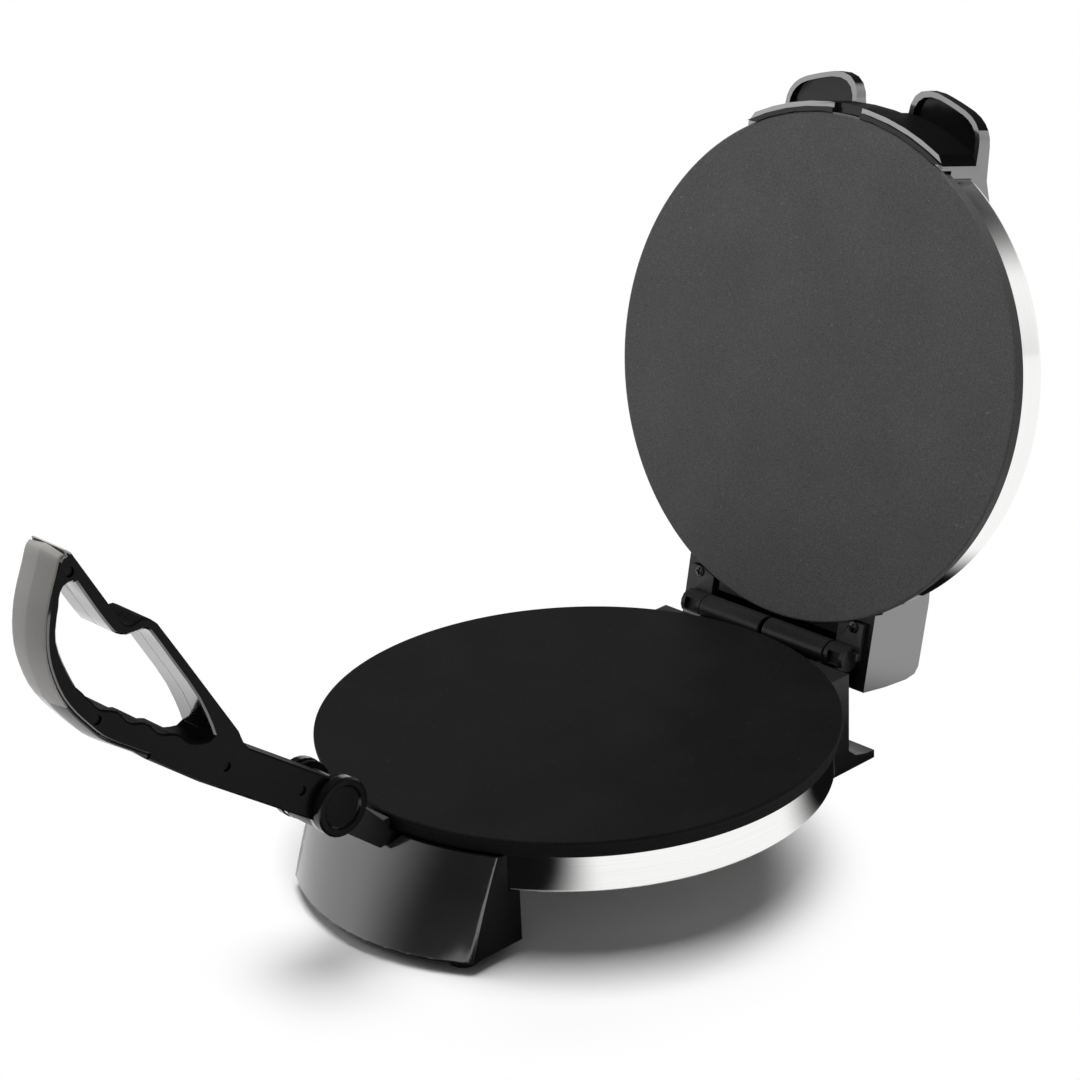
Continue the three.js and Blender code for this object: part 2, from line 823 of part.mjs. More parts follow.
// Lid front housing: a curved wall with a collar below, a trough for the lever and two lifting ears
function earPlan(margin) {
  const inner = earInner + margin;
  const outer = legHalfWidth - margin;
  const radius = earRadius - margin;
  const bendIn = earInnerCorner - margin / 2;
  const bendOut = earOuterCorner - margin / 2;
  const back = margin > 0 ? lidHousingRadius * 0.93 : plateRadius * 0.75;
  const plan = new THREE.Shape();
  plan.moveTo(inner, -back);
  plan.lineTo(inner, bendIn - depthAt(radius, inner));
  plan.quadraticCurveTo(inner, -depthAt(radius, inner), inner + bendIn, -depthAt(radius, inner + bendIn));
  const from = Math.acos((inner + bendIn) / radius);
  const to = Math.acos((outer - bendOut) / radius);
  plan.absarc(0, 0, radius, -from, -to, false);
  plan.quadraticCurveTo(outer, -depthAt(radius, outer), outer, bendOut - depthAt(radius, outer));
  plan.lineTo(outer, margin > 0 ? -depthAt(lidHousingRadius, outer) : -back);
  return plan;
}

function lidFrontShape() {
  const crest = lidGap + domeHeight;
  const top = outline([
    [-earRadius, 0],
    [-earRadius, earEdgeTop],
    [-plateRadius * 0.83, earEdgeTop + crownRise / 2],
    [-plateRadius * 0.74, crest],
    [-plateRadius * 0.5, crest],
    [-plateRadius * 0.5, 0],
  ]);
  const wallPlan = new THREE.Shape();
  const wallTurn = Math.acos((legHalfWidth - frontCorner) / lidHousingRadius);
  wallPlan.absarc(0, 0, lidHousingRadius, wallTurn - Math.PI, -wallTurn, false);
  wallPlan.lineTo(legHalfWidth, frontCorner - depthAt(lidHousingRadius, legHalfWidth));
  wallPlan.lineTo(legHalfWidth, -plateRadius * 0.5);
  wallPlan.lineTo(-legHalfWidth, -plateRadius * 0.5);
  wallPlan.lineTo(-legHalfWidth, frontCorner - depthAt(lidHousingRadius, legHalfWidth));
  const collarPlan = new THREE.Shape();
  const collarTurn = Math.acos(legHalfWidth / collarRadius);
  collarPlan.absarc(0, 0, collarRadius, collarTurn - Math.PI, -collarTurn, false);
  const wall = join(
    alongZ(wallPlan, lidGap + collarHeight, crest + overrun),
    alongZ(collarPlan, seat, crest),
  );
  const ear = (margin, low, high) => {
    const right = alongZ(earPlan(margin), low, high);
    return join(right, mirrored(right));
  };
  const trough = alongX(outline([
    [-earRadius - overrun, crest + overrun],
    [-earRadius - overrun, troughFloor],
    [-lidHousingRadius, troughFloor],
    [-plateRadius * 0.98, troughFloor + troughRise * 0.23],
    [-plateRadius * 0.92, troughFloor + troughRise * 0.52],
    [-plateRadius * 0.8, troughFloor + troughRise],
    [-plateRadius * 0.74, troughFloor + troughRise * 1.1],
    [-plateRadius * 0.6, troughFloor + troughRise * 1.16],
    [-plateRadius * 0.6, crest + overrun],
  ]), -earInner, earInner);
  const notch = alongX(outline([
    [-earRadius, -overrun],
    [-earRadius, lidNotchHeight],
    [-rimRadius, lidNotchHeight],
    [-rimRadius, -overrun],
  ]), -lidNotchHalf, lidNotchHalf);
  const ears = ear(0, earBottom, crest);
  const hollows = ear(earRim, earBottom - overrun, earBottom + earHollow);
  return cut(
    shared(join(wall, ears), alongX(top, -legHalfWidth - overrun, legHalfWidth + overrun)),
    trough,
    notch,
    cut(hollows, alongZ(wallPlan, earBottom - 2 * overrun, crest)),
    lidRelief(seat),
    ...lidScrewBores(-1),
  );
}

// Lid rear housing: a rounded block behind the cover, hollowed over the hinge barrels
function lidRearShape() {
  const block = outline([
    [plateRadius * 0.5, lidRearBottom],
    [lidRearReach, lidRearBottom],
    [lidRearReach - 4 * seat, lidRearTop * 0.45],
    [lidRearReach * 0.98, lidRearTop * 0.8],
    [lidRearReach * 0.965, lidRearTop * 0.94],
    [lidRearReach * 0.94, lidRearTop * 0.99],
    [plateRadius * 0.85, lidRearTop],
    [plateRadius * 0.75, lidGap + domeHeight],
    [plateRadius * 0.5, lidGap + domeHeight],
  ]);
  const pocketHalf = barrelOuter + knuckleGap;
  const pocketTop = lidRearBottom + pocketHeight;
  const pocket = alongX(outline([
    [bandRadius + legWall, -overrun],
    [lidRearReach - legWall, -overrun],
    [lidRearReach - legWall, pocketTop - legWall],
    [lidRearReach - 2 * legWall, pocketTop],
    [bandRadius + 2 * legWall, pocketTop],
    [bandRadius + legWall, pocketTop - legWall],
  ]), -pocketHalf, pocketHalf);
  const knuckleRoom = sidePairs.map(([, side]) =>
    barX(knuckleRadius + seat, hingeY, hingeZ, side * barrelOuter, side * (knuckleOuter + seat)),
  );
  const tabBores = sidePairs.map(([, side]) =>
    bar(screwRadius + seat, 0, lidRearBottom + tabScrewLength, screwSides)
      .translate(side * tabScrewX, tabScrewY, 0),
  );
  return cut(
    alongX(block, -legHalfWidth, legHalfWidth),
    lidRelief(seat),
    pocket,
    ...knuckleRoom,
    ...tabBores,
    ...lidScrewBores(1),
  );
}

// Lid hinge arm: a screwed tab beside the plate and a knuckle round the pin, cored out below
function hingeArmShape(side) {
  const tabTop = lidRearBottom - seat;
  const tabBottom = tabTop - tabThickness;
  const tab = alongX(outline([
    [tabNear, tabBottom],
    [hingeY - knuckleRadius * 0.6, tabBottom],
    [hingeY - knuckleRadius * 0.6, hingeZ],
    [hingeY, hingeZ],
    [hingeY, tabTop],
    [tabNear, tabTop],
  ]), side * (barrelOuter + knuckleGap), side * tabOuter);
  const knuckle = barX(
    knuckleRadius,
    hingeY,
    hingeZ,
    side * (barrelOuter + knuckleGap),
    side * knuckleOuter,
    smallSides,
  );
  const coreHalf = knuckleRadius * 0.5;
  const core = alongX(outline([
    [hingeY - coreHalf, hingeZ - knuckleRadius - overrun],
    [hingeY + coreHalf, hingeZ - knuckleRadius - overrun],
    [hingeY + coreHalf, hingeZ - pinRadius - 2 * sheet],
    [hingeY - coreHalf, hingeZ - pinRadius - 2 * sheet],
  ]), side * (barrelOuter + knuckleGap + legWall), side * (knuckleOuter - legWall));
  return cut(
    join(tab, knuckle),
    lidRelief(seat),
    barX(pinRadius + seat, hingeY, hingeZ, side * barrelOuter, side * (knuckleOuter - pinCap)),
    core,
    bar(screwRadius + seat, tabBottom - overrun, tabTop + overrun, screwSides)
      .translate(side * tabScrewX, tabScrewY, 0),
    bar(screwHeadRadius + seat, tabBottom - overrun, tabBottom + tabScrewSink, screwSides)
      .translate(side * tabScrewX, tabScrewY, 0),
  );
}

// Lever handle, drawn about its pivot: U runs forward and V up. Its outlines are written as shares of the
// reach and rise of the grip.
const at = ([u, v]) => new THREE.Vector2(u * handleReach, v * handleRise);
const barShares = [[0.313, 0.272], [0.331, 0.295], [0.345, 0.331], [0.428, 0.456], [0.523, 0.599], [0.602, 0.716]];
const kinkShares = [[0.623, 0.734], [0.65, 0.748], [0.691, 0.741], [0.718, 0.752], [0.747, 0.791]];
const tipShares = [[0.765, 0.822], [0.871, 0.987], [0.885, 0.998], [0.894, 1]];
const gripShares = [
  [0.896, 1], [0.914, 0.995], [0.927, 0.98], [0.942, 0.947], [0.964, 0.903], [0.984, 0.854], [0.997, 0.798],
  [1, 0.74], [0.989, 0.68], [0.965, 0.616], [0.928, 0.56], [0.885, 0.511], [0.845, 0.469], [0.793, 0.431],
  [0.686, 0.364],
];
const loopShares = [
  [0.865, 0.907], [0.886, 0.912], [0.909, 0.906], [0.923, 0.887], [0.931, 0.855], [0.946, 0.808],
  [0.949, 0.766], [0.935, 0.714], [0.918, 0.671], [0.901, 0.635],
];
const loopBackShares = [
  [0.437, 0.352], [0.452, 0.4], [0.49, 0.485], [0.555, 0.587], [0.623, 0.692], [0.638, 0.71], [0.654, 0.717],
  [0.688, 0.717], [0.716, 0.72], [0.743, 0.731], [0.764, 0.748], [0.811, 0.818],
];
const fingerFrom = [0.459, 0.343];
const fingerTo = [0.895, 0.598];

const flow = (points, steps) => new THREE.SplineCurve(points).getPoints(steps);

// Points of a curve moved square to it, to its left for a positive distance
function offset(points, distance) {
  return points.map((point, i) => {
    const before = points[Math.max(i - 1, 0)];
    const after = points[Math.min(i + 1, points.length - 1)];
    const along = after.clone().sub(before).normalize();
    return new THREE.Vector2(point.x - along.y * distance, point.y + along.x * distance);
  });
}

const armPoint = (along, across) => {
  const turn = radians(armDegrees);
  return new THREE.Vector2(
    along * Math.cos(turn) - across * Math.sin(turn),
    along * Math.sin(turn) + across * Math.cos(turn),
  );
};

const gripSteps = 28;
const gripCurve = flow(gripShares.map(at), gripSteps);

function handleOutline() {
  const barrelAlong = depthAt(pivotBarrel, armHalf);
  const armTurn = Math.asin(armHalf / pivotBarrel);
  const barrel = [];
  const barrelSteps = 14;
  const from = radians(armDegrees) + armTurn;
  const sweep = 2 * Math.PI - 2 * armTurn;
  for (let i = 0; i <= barrelSteps; i += 1) {
    const turn = from + (sweep * i) / barrelSteps;
    barrel.push(new THREE.Vector2(pivotBarrel * Math.cos(turn), pivotBarrel * Math.sin(turn)));
  }
  const armEnd = at(barShares[0]);
  const grip = offset(gripCurve, -(gripSkin + seat));
  const [gripBefore, gripLast] = gripCurve.slice(-2);
  const gripEnd = gripLast.clone().add(gripLast.clone().sub(gripBefore).setLength(seat));
  const lowerEnd = armPoint(armEnd.length() * 1.3, -armHalf);
  return [
    armPoint(barrelAlong, armHalf),
    ...flow(barShares.slice(0, 3).map(at), 4),
    ...barShares.slice(3).map(at),
    ...flow(kinkShares.map(at), 10),
    ...tipShares.map(at),
    ...grip,
    gripEnd,
    lowerEnd,
    armPoint(barrelAlong, -armHalf),
    ...barrel.reverse().slice(1, -1),
  ];
}

// The finger edge of the loop is a row of shallow scallops on a straight line.
function loopOutline() {
  const start = at(fingerFrom);
  const end = at(fingerTo);
  const length = start.distanceTo(end);
  const turn = radians(fingerDegrees);
  const fingers = [];
  const fingerSteps = 24;
  for (let i = 0; i <= fingerSteps; i += 1) {
    const along = (length * i) / fingerSteps;
    const wave = (1 - Math.cos((2 * Math.PI * along) / fingerPitch)) / 2;
    const ends = Math.sin((Math.PI * i) / fingerSteps) ** 0.3;
    const across = -fingerDepth * (1 + wave) * ends;
    fingers.push(new THREE.Vector2(
      start.x + along * Math.cos(turn) - across * Math.sin(turn),
      start.y + along * Math.sin(turn) + across * Math.cos(turn),
    ));
  }
  return [
    ...fingers,
    ...flow([...loopShares].reverse().map(at), 14),
    ...flow([...loopBackShares].reverse().map(at), 18),
  ];
}

// The handle's drawing plane laid into the scene: U towards -Y, V towards +Z, thickness along X
const handleFrame = new THREE.Matrix4().makeBasis(
  new THREE.Vector3(0, -1, 0),
  new THREE.Vector3(0, 0, 1),
  new THREE.Vector3(-1, 0, 0),
);

function handlePrism(shape, half, round) {
  return new THREE.ExtrudeGeometry(shape, {
    depth: 2 * (half - round),
    bevelThickness: round,
    bevelSize: round,
    bevelOffset: -round,
    bevelSegments: 1,
  }).translate(0, 0, round - half).applyMatrix4(handleFrame);
}

// Half shells: cheeks round the bracket's eye, a web that works against its stops, cored out inside
const handleScrewShares = [[0.885, 0.94], [0.844, 0.528], [0.404, 0.25], [0.129, 0.085]];
const handleScrewPlaces = handleScrewShares.map((share) => {
  const { x: u, y: v } = at(share);
  return { y: -u, z: v };
});

function slotShape() {
  const half = bracketHalf + seat;
  const sector = [[0, 0]];
  const steps = 20;
  const sweep = 360 - 2 * webHalfDegrees;
  for (let i = 0; i <= steps; i += 1) {
    sector.push(atAngle(pivotBarrel + overrun, webEnd + (sweep * i) / steps));
  }
  return join(
    barX(eyeRadius + seat, 0, 0, -half, half, 2 * smallSides),
    alongX(outline(sector), -half, half),
  );
}

function coreShape() {
  const corners = [
    armPoint(coreFrom, -coreHalf),
    armPoint(coreTo, -coreHalf),
    armPoint(coreTo, coreHalf),
    armPoint(coreFrom, coreHalf),
  ];
  return handlePrism(new THREE.Shape(corners), handleHalf - legWall, shellRound);
}

function handleShellShape(side) {
  const shape = new THREE.Shape(handleOutline());
  shape.holes.push(new THREE.Path(loopOutline()));
  const far = side * (handleHalf + overrun);
  const room = outline([
    [-handleReach - overrun, -pivotBarrel - overrun],
    [pivotBarrel + overrun, -pivotBarrel - overrun],
    [pivotBarrel + overrun, handleRise + overrun],
    [-handleReach - overrun, handleRise + overrun],
  ]);
  const bores = handleScrewPlaces.flatMap(({ y, z }) => [
    barX(screwRadius + seat, y, z, legWall - handleHalf, handleHalf + overrun, screwSides),
    barX(handleScrewHead + seat, y, z, handleHalf - handleScrewSink, handleHalf + overrun, screwSides),
  ]);
  return cut(
    shared(handlePrism(shape, handleHalf, shellRound), alongX(room, (side * seat) / 2, far)),
    slotShape(),
    coreShape(),
    barX(axleRadius + seat, 0, 0, 0, far),
    ...bores,
  );
}

// Palm insert: a skin of even thickness over the back of the grip, across both shells
const gripShape = () => {
  const inner = offset(gripCurve, -gripSkin).reverse();
  return handlePrism(new THREE.Shape([...gripCurve, ...inner]), handleHalf - seat, gripSkin / 4);
};

// Pivot cap: a rim round a sunk disc, with a blind socket for the axle
function capShape(side) {
  const near = handleHalf + seat;
  const far = near + capThickness;
  const bevel = capRecess / 2;
  const profile = [
    [0, near],
    [capRadius, near],
    [capRadius, far - bevel],
    [capRadius - bevel, far],
    [capRadius - capRim, far],
    [capRadius - capRim - bevel, far - capRecess],
    [0, far - capRecess],
  ];
  return cut(
    turned(profile, 2 * smallSides).rotateY((side * Math.PI) / 2),
    barX(axleRadius + seat, 0, 0, 0, side * (near + capSocket)),
  );
}

// Base pieces

piece(base, "lower_plate", plateShape([clampPosts, coverPosts]), blackPlate);
heaterSet("lower", base, (shape) => shape);
piece(base, "base_band", bandShape(), stainless);
piece(base, "base_bottom_cover", bottomCoverShape(), aluminium);
coverAngles.forEach((angle, index) => {
  const screw = screwShape(coverScrewLength)
    .translate(...atAngle(coverPostRing, angle), coverBottom - seat);
  piece(base, `cover_screw_${index + 1}`, screw, steel);
});
piece(base, "front_housing", frontHousingShape(), blackPlastic);
piece(base, "rear_housing", rearHousingShape(), blackPlastic);
for (const { end, side, x, y } of housingScrews) {
  const name = `${ends[(end + 1) / 2][0]}_housing_screw_${sidePairs[(1 - side) / 2][0]}`;
  const low = bandBottom - legWall - 2 * seat;
  piece(base, name, screwShape(housingScrewLength).translate(x, y, low), steel);
}
for (const [end, sign] of ends) {
  for (const [side, x] of sidePairs) {
    const foot = footShape().translate(x * footX, sign < 0 ? frontFootY : rearFootY, 0);
    piece(base, `foot_${end}_${side}`, foot, rubber);
  }
}
piece(base, "handle_bracket", bracketShape(), blackPlastic);
bracketScrewX.forEach((x, index) => {
  const front = -bandRadius - seat - bracketTongue + screwHead;
  const screw = screwShape(bracketTongue).rotateX(-Math.PI / 2).translate(x, front, bracketScrewZ);
  piece(base, `bracket_screw_${index + 1}`, screw, steel);
});
const pinHalf = knuckleOuter - pinCap - seat;
piece(base, "hinge_pin", barX(pinRadius, hingeY, hingeZ, -pinHalf, pinHalf), steel);

const terminalTop = bandBottom - legWall - 2 * seat;
const terminalBack = legBack + 2 * legWall;
const terminal = alongX(outline([
  [terminalBack, terminalTop - terminalHeight],
  [terminalBack + terminalDepth, terminalTop - terminalHeight],
  [terminalBack + terminalDepth, terminalTop],
  [terminalBack, terminalTop],
]), -terminalHalf, terminalHalf);
piece(base, "terminal_block", terminal, ceramic);

const gland = turned([
  [glandBore, -glandStem],
  [glandRadius, -glandStem],
  [glandRadius, seat],
  [glandRadius + glandLip, seat],
  [glandRadius + glandLip, seat + glandLip],
  [glandBore, seat + glandLip],
], smallSides).rotateX(-Math.PI / 2).translate(0, rearWallY, glandZ);
piece(base, "cord_gland", gland, rubber);

// Lid pieces, drawn closed: the plate set is the lower one turned over

const turnedOver = (shape) => shape.rotateX(Math.PI).translate(0, 0, lidGap);
piece(lid, "upper_plate", turnedOver(geometryOf(plateShape([clampPosts]))), greyPlate);
heaterSet("upper", lid, turnedOver);
piece(lid, "lid_cover", lidCoverShape(), stainless);
piece(lid, "lid_front_housing", lidFrontShape(), blackPlastic);
piece(lid, "lid_rear_housing", lidRearShape(), blackPlastic);
for (const { x, end } of lidScrewPlaces) {
  const name = `${ends[(end + 1) / 2][0]}_lid_screw_${x > 0 ? "right" : "left"}`;
  const headY = depthAt(bandRadius - sheet, Math.abs(x) + screwHeadRadius) - seat;
  const screw = screwShape(lidScrewLength)
    .rotateX((-end * Math.PI) / 2)
    .translate(x, end * headY, lidScrewZ);
  piece(lid, name, screw, steel);
}
for (const [side, sign] of sidePairs) {
  const seatZ = lidRearBottom - seat - tabThickness + tabScrewSink - seat;
  const screw = screwShape(tabScrewLength).translate(sign * tabScrewX, tabScrewY, seatZ);
  piece(lid, `hinge_arm_${side}`, hingeArmShape(sign), blackPlastic);
  piece(lid, `hinge_arm_screw_${side}`, screw, darkSteel);
}

// Handle pieces

for (const [side, sign] of sidePairs) {
  piece(handle, `handle_shell_${side}`, handleShellShape(sign), blackPlastic);
  piece(handle, `pivot_cap_${side}`, capShape(sign), blackPlastic);
}
piece(handle, "handle_grip", gripShape(), greyGrip);
const axleHalf = handleHalf + capSocket;
piece(handle, "handle_axle", barX(axleRadius, 0, 0, -axleHalf, axleHalf), steel);
handleScrewPlaces.forEach(({ y, z }, index) => {
  const screw = screwShape(handleScrewLength, handleScrewHead)
    .rotateY(-Math.PI / 2)
    .translate(handleHalf - handleScrewSink + seat, y, z);
  piece(handle, `handle_screw_${index + 1}`, screw, darkSteel);
});

// The part's frame has its origin under the middle of the whole object, on the floor.
rotiMaker.updateMatrixWorld(true);
const box = new THREE.Box3().setFromObject(rotiMaker, true);
const middle = box.getCenter(new THREE.Vector3());
rotiMaker.position.set(-middle.x, -middle.y, -box.min.z);

export default rotiMaker;
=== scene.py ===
"""Looks of an electric roti maker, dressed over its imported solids. Metres, +Z up, the lever towards -Y."""

import json
import math

import bmesh
import bpy
import numpy as np
from mathutils import Matrix, Vector


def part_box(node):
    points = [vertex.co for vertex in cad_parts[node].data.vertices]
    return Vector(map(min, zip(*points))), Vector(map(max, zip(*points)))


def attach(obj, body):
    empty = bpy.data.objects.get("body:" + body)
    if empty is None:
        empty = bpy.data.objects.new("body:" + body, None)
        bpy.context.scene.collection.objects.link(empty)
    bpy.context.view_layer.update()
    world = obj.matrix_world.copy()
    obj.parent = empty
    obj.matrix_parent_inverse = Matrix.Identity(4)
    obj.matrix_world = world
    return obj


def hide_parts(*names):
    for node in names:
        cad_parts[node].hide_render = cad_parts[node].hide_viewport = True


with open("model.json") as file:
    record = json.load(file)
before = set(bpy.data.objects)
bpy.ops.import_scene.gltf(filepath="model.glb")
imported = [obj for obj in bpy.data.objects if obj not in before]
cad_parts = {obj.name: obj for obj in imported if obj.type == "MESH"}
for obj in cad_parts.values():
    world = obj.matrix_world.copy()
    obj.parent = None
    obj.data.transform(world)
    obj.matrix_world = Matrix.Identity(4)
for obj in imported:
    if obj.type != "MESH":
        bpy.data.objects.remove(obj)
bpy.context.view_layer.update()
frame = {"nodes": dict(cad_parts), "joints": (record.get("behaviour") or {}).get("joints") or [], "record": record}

MM = 0.001

# Places read from the frame

plate_low, plate_high = (Vector(corner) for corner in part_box("lower_plate"))
plate_middle = (plate_low + plate_high) / 2
PLATE_CENTRE = Vector((plate_middle.x, plate_middle.y, plate_high.z))
JOINTS = {joint["name"]: joint for joint in frame["joints"]}
LID_HINGE = Vector(JOINTS["lid_hinge"]["pos_m"])
LID_OPEN = math.radians(JOINTS["lid_hinge"]["range_deg"][1])
PIVOT = Vector(JOINTS["handle_pivot"]["pos_m"])


def body_holding(node):
    """The body that a node moves with."""
    for body, nodes in frame["record"]["behaviour"]["bodies"].items():
        if node in nodes:
            return body
    raise ValueError(node)


def slot_of(node):
    """The material slot that the record gives a node."""
    return next(part["material_slot"] for part in frame["record"]["subparts"] if part["node"] == node)


# Camera: fitted to the circles of both plates, with places measured from the lower plate's centre

CAMERA_PLACE = Vector((1223.6, -1169.2, 840.8)) * MM
CAMERA_YAW = math.radians(-46.896)
CAMERA_PITCH = math.radians(23.322)
CAMERA_ROLL = math.radians(-2.385)
FRAME_PIXELS = 1080
FOCAL_PIXELS = 3272.78
SENSOR = 36
NEAREST = 0.05
FARTHEST = 50


def make_camera():
    """A camera at the photograph's viewing angle, turned by its yaw, pitch and roll."""
    forward = Vector(
        (
            math.sin(CAMERA_YAW) * math.cos(CAMERA_PITCH),
            math.cos(CAMERA_YAW) * math.cos(CAMERA_PITCH),
            -math.sin(CAMERA_PITCH),
        )
    )
    right = Vector((math.cos(CAMERA_YAW), -math.sin(CAMERA_YAW), 0))
    up = right.cross(forward)
    rolled_right = right * math.cos(CAMERA_ROLL) + up * math.sin(CAMERA_ROLL)
    rolled_up = up * math.cos(CAMERA_ROLL) - right * math.sin(CAMERA_ROLL)
    data = bpy.data.cameras.new("camera")
    data.sensor_width = SENSOR
    data.lens = SENSOR * FOCAL_PIXELS / FRAME_PIXELS
    data.clip_start = NEAREST
    data.clip_end = FARTHEST
    camera = bpy.data.objects.new("camera", data)
    turn = Matrix((rolled_right, rolled_up, -forward)).transposed().to_4x4()
    camera.matrix_world = Matrix.Translation(PLATE_CENTRE + CAMERA_PLACE) @ turn
    bpy.context.scene.collection.objects.link(camera)
    bpy.context.scene.camera = camera


# Materials: every finish has its own nodes on Object coordinates. The scale of a noise is in cells to the
# metre, and a relief is a depth in metres with its strength.

WIDE_STOPS = (0.3, 0.7)
GRAIN_STOPS = (0.35, 0.65)
SPECK_STOPS = (0.7, 0.8)

COAT_CLOUDS = 22
COAT_GRAIN = 1300
COAT_SPECKS = 520
GRAIN_SHADE = ((0.72,), (1.28,))
COAT_RELIEF = (0.00006, 0.5)

BRUSH_STRETCH = (12, 12, 5200)
BRUSH_SMUDGES = 16
BRUSH_DIRECTION = 0.35
BRUSH_SHADE = 0.93
BRUSH_RELIEF = (0.000008, 0.5)

MOULD_FLOW = 14
MOULD_STRETCH = (1, 1, 2.5)
MOULD_GRAIN = 900
MOULD_STRENGTH = 0.35
LACQUER_ROUGHNESS = 0.09

FITTING_SCUFFS = 240
FITTING_LINES = 3200
FITTING_SHADE = 0.8
FITTING_RELIEF = (0.00001, 0.4)


def new_material(name):
    """A material with its node tree and its shader."""
    material = bpy.data.materials.new(name)
    material.use_nodes = True
    tree = material.node_tree
    return material, tree, tree.nodes["Principled BSDF"]


def add_node(tree, kind, **values):
    """A node with its sockets set by name, spaces written as underscores."""
    node = tree.nodes.new(kind)
    for name, value in values.items():
        socket = name.replace("_", " ")
        if socket in node.inputs:
            node.inputs[socket].default_value = value
        else:
            setattr(node, name, value)
    return node


def add_noise(tree, scale, detail, stretch=(1, 1, 1), turn=(0, 0, 0)):
    """Noise on Object coordinates, turned and then stretched."""
    place = add_node(tree, "ShaderNodeTexCoord")
    mapping = add_node(tree, "ShaderNodeMapping", vector_type="TEXTURE", Rotation=turn)
    sizing = add_node(tree, "ShaderNodeMapping", Scale=stretch)
    noise = add_node(tree, "ShaderNodeTexNoise", Scale=scale, Detail=detail)
    tree.links.new(place.outputs["Object"], mapping.inputs["Vector"])
    tree.links.new(mapping.outputs["Vector"], sizing.inputs["Vector"])
    tree.links.new(sizing.outputs["Vector"], noise.inputs["Vector"])
    return noise.outputs["Fac"]


def ramp_between(tree, factor, low, high, stops=WIDE_STOPS):
    """A grey or coloured ramp between two values, driven by a factor."""
    ramp = add_node(tree, "ShaderNodeValToRGB")
    tree.links.new(factor, ramp.inputs["Fac"])
    for stop, place, value in zip(ramp.color_ramp.elements, stops, (low, high)):
        stop.position = place
        stop.color = (*value, 1) if len(value) == 3 else (value[0], value[0], value[0], 1)
    return ramp.outputs["Color"]


def bump(tree, shader, factor, depth, strength):
    """Turns a factor into relief of a real depth in metres."""
    node = add_node(tree, "ShaderNodeBump", Strength=strength, Distance=depth)
    tree.links.new(factor, node.inputs["Height"])
    tree.links.new(node.outputs["Normal"], shader.inputs["Normal"])


def uneven_gloss(tree, shader, factor, roughness):
    """Roughness that wanders between its two values with a factor."""
    low, high = roughness
    tree.links.new(ramp_between(tree, factor, (low,), (high,)), shader.inputs["Roughness"])


def coated_metal(name, dark, light, roughness, level, speckle):
    """Sprayed non-stick coat: fine grain, pale specks, a faint cloudy shade and an uneven sheen."""
    material, tree, shader = new_material(name)
    cloud = add_noise(tree, COAT_CLOUDS, detail=4)
    grain = add_noise(tree, COAT_GRAIN, detail=3)
    specks = add_noise(tree, COAT_SPECKS, detail=1)
    colour = ramp_between(tree, cloud, dark, light)
    fine_mix = add_node(tree, "ShaderNodeMix", data_type="RGBA", blend_type="MULTIPLY")
    fine_mix.inputs["Factor"].default_value = 1
    tree.links.new(colour, fine_mix.inputs["A"])
    tree.links.new(ramp_between(tree, grain, *GRAIN_SHADE, GRAIN_STOPS), fine_mix.inputs["B"])
    speck_mix = add_node(tree, "ShaderNodeMix", data_type="RGBA")
    speck_mix.inputs["B"].default_value = (*speckle, 1)
    tree.links.new(ramp_between(tree, specks, (0.0,), (1.0,), SPECK_STOPS), speck_mix.inputs["Factor"])
    tree.links.new(fine_mix.outputs["Result"], speck_mix.inputs["A"])
    tree.links.new(speck_mix.outputs["Result"], shader.inputs["Base Color"])
    uneven_gloss(tree, shader, grain, roughness)
    shader.inputs["Specular IOR Level"].default_value = level
    bump(tree, shader, grain, *COAT_RELIEF)
    return material


def brushed_steel(name, turn, tone, roughness):
    """Stainless sheet brushed round its own axis: fine lines that only change along that axis."""
    material, tree, shader = new_material(name)
    lines = add_noise(tree, 1, detail=2, stretch=BRUSH_STRETCH, turn=turn)
    smudge = add_noise(tree, BRUSH_SMUDGES, detail=4, turn=turn)
    shader.inputs["Metallic"].default_value = 1
    shader.inputs["Anisotropic"].default_value = BRUSH_DIRECTION
    dark = tuple(value * BRUSH_SHADE for value in tone)
    tree.links.new(ramp_between(tree, lines, dark, tone), shader.inputs["Base Color"])
    uneven_gloss(tree, shader, smudge, roughness)
    bump(tree, shader, lines, *BRUSH_RELIEF)
    return material


def moulded_plastic(name, dark, light, roughness, relief, level=0.5, gloss=0.0, gloss_index=1.8):
    """Injection-moulded plastic: a trace of flow in the colour, uneven gloss and slight waviness.

    The gloss is the weight of a clear layer over it, and the index says how strongly that layer mirrors.
    """
    material, tree, shader = new_material(name)
    flow = add_noise(tree, MOULD_FLOW, detail=3, stretch=MOULD_STRETCH)
    fine = add_noise(tree, MOULD_GRAIN, detail=2)
    tree.links.new(ramp_between(tree, flow, dark, light), shader.inputs["Base Color"])
    uneven_gloss(tree, shader, flow, roughness)
    shader.inputs["Specular IOR Level"].default_value = level
    shader.inputs["Coat Weight"].default_value = gloss
    shader.inputs["Coat Roughness"].default_value = LACQUER_ROUGHNESS
    shader.inputs["Coat IOR"].default_value = gloss_index
    bump(tree, shader, fine, relief, MOULD_STRENGTH)
    return material


def plain_metal(name, tone, roughness):
    """Small metal fittings: turned lines and light scuffs."""
    material, tree, shader = new_material(name)
    scuff = add_noise(tree, FITTING_SCUFFS, detail=4)
    fine = add_noise(tree, FITTING_LINES, detail=2)
    shader.inputs["Metallic"].default_value = 1
    dark = tuple(value * FITTING_SHADE for value in tone)
    tree.links.new(ramp_between(tree, scuff, dark, tone), shader.inputs["Base Color"])
    uneven_gloss(tree, shader, scuff, roughness)
    bump(tree, shader, fine, *FITTING_RELIEF)
    return material


LID_TURN = (-LID_OPEN, 0, 0)
STAINLESS = (0.95, 0.95, 0.94)
STAINLESS_ROUGHNESS = (0.07, 0.13)

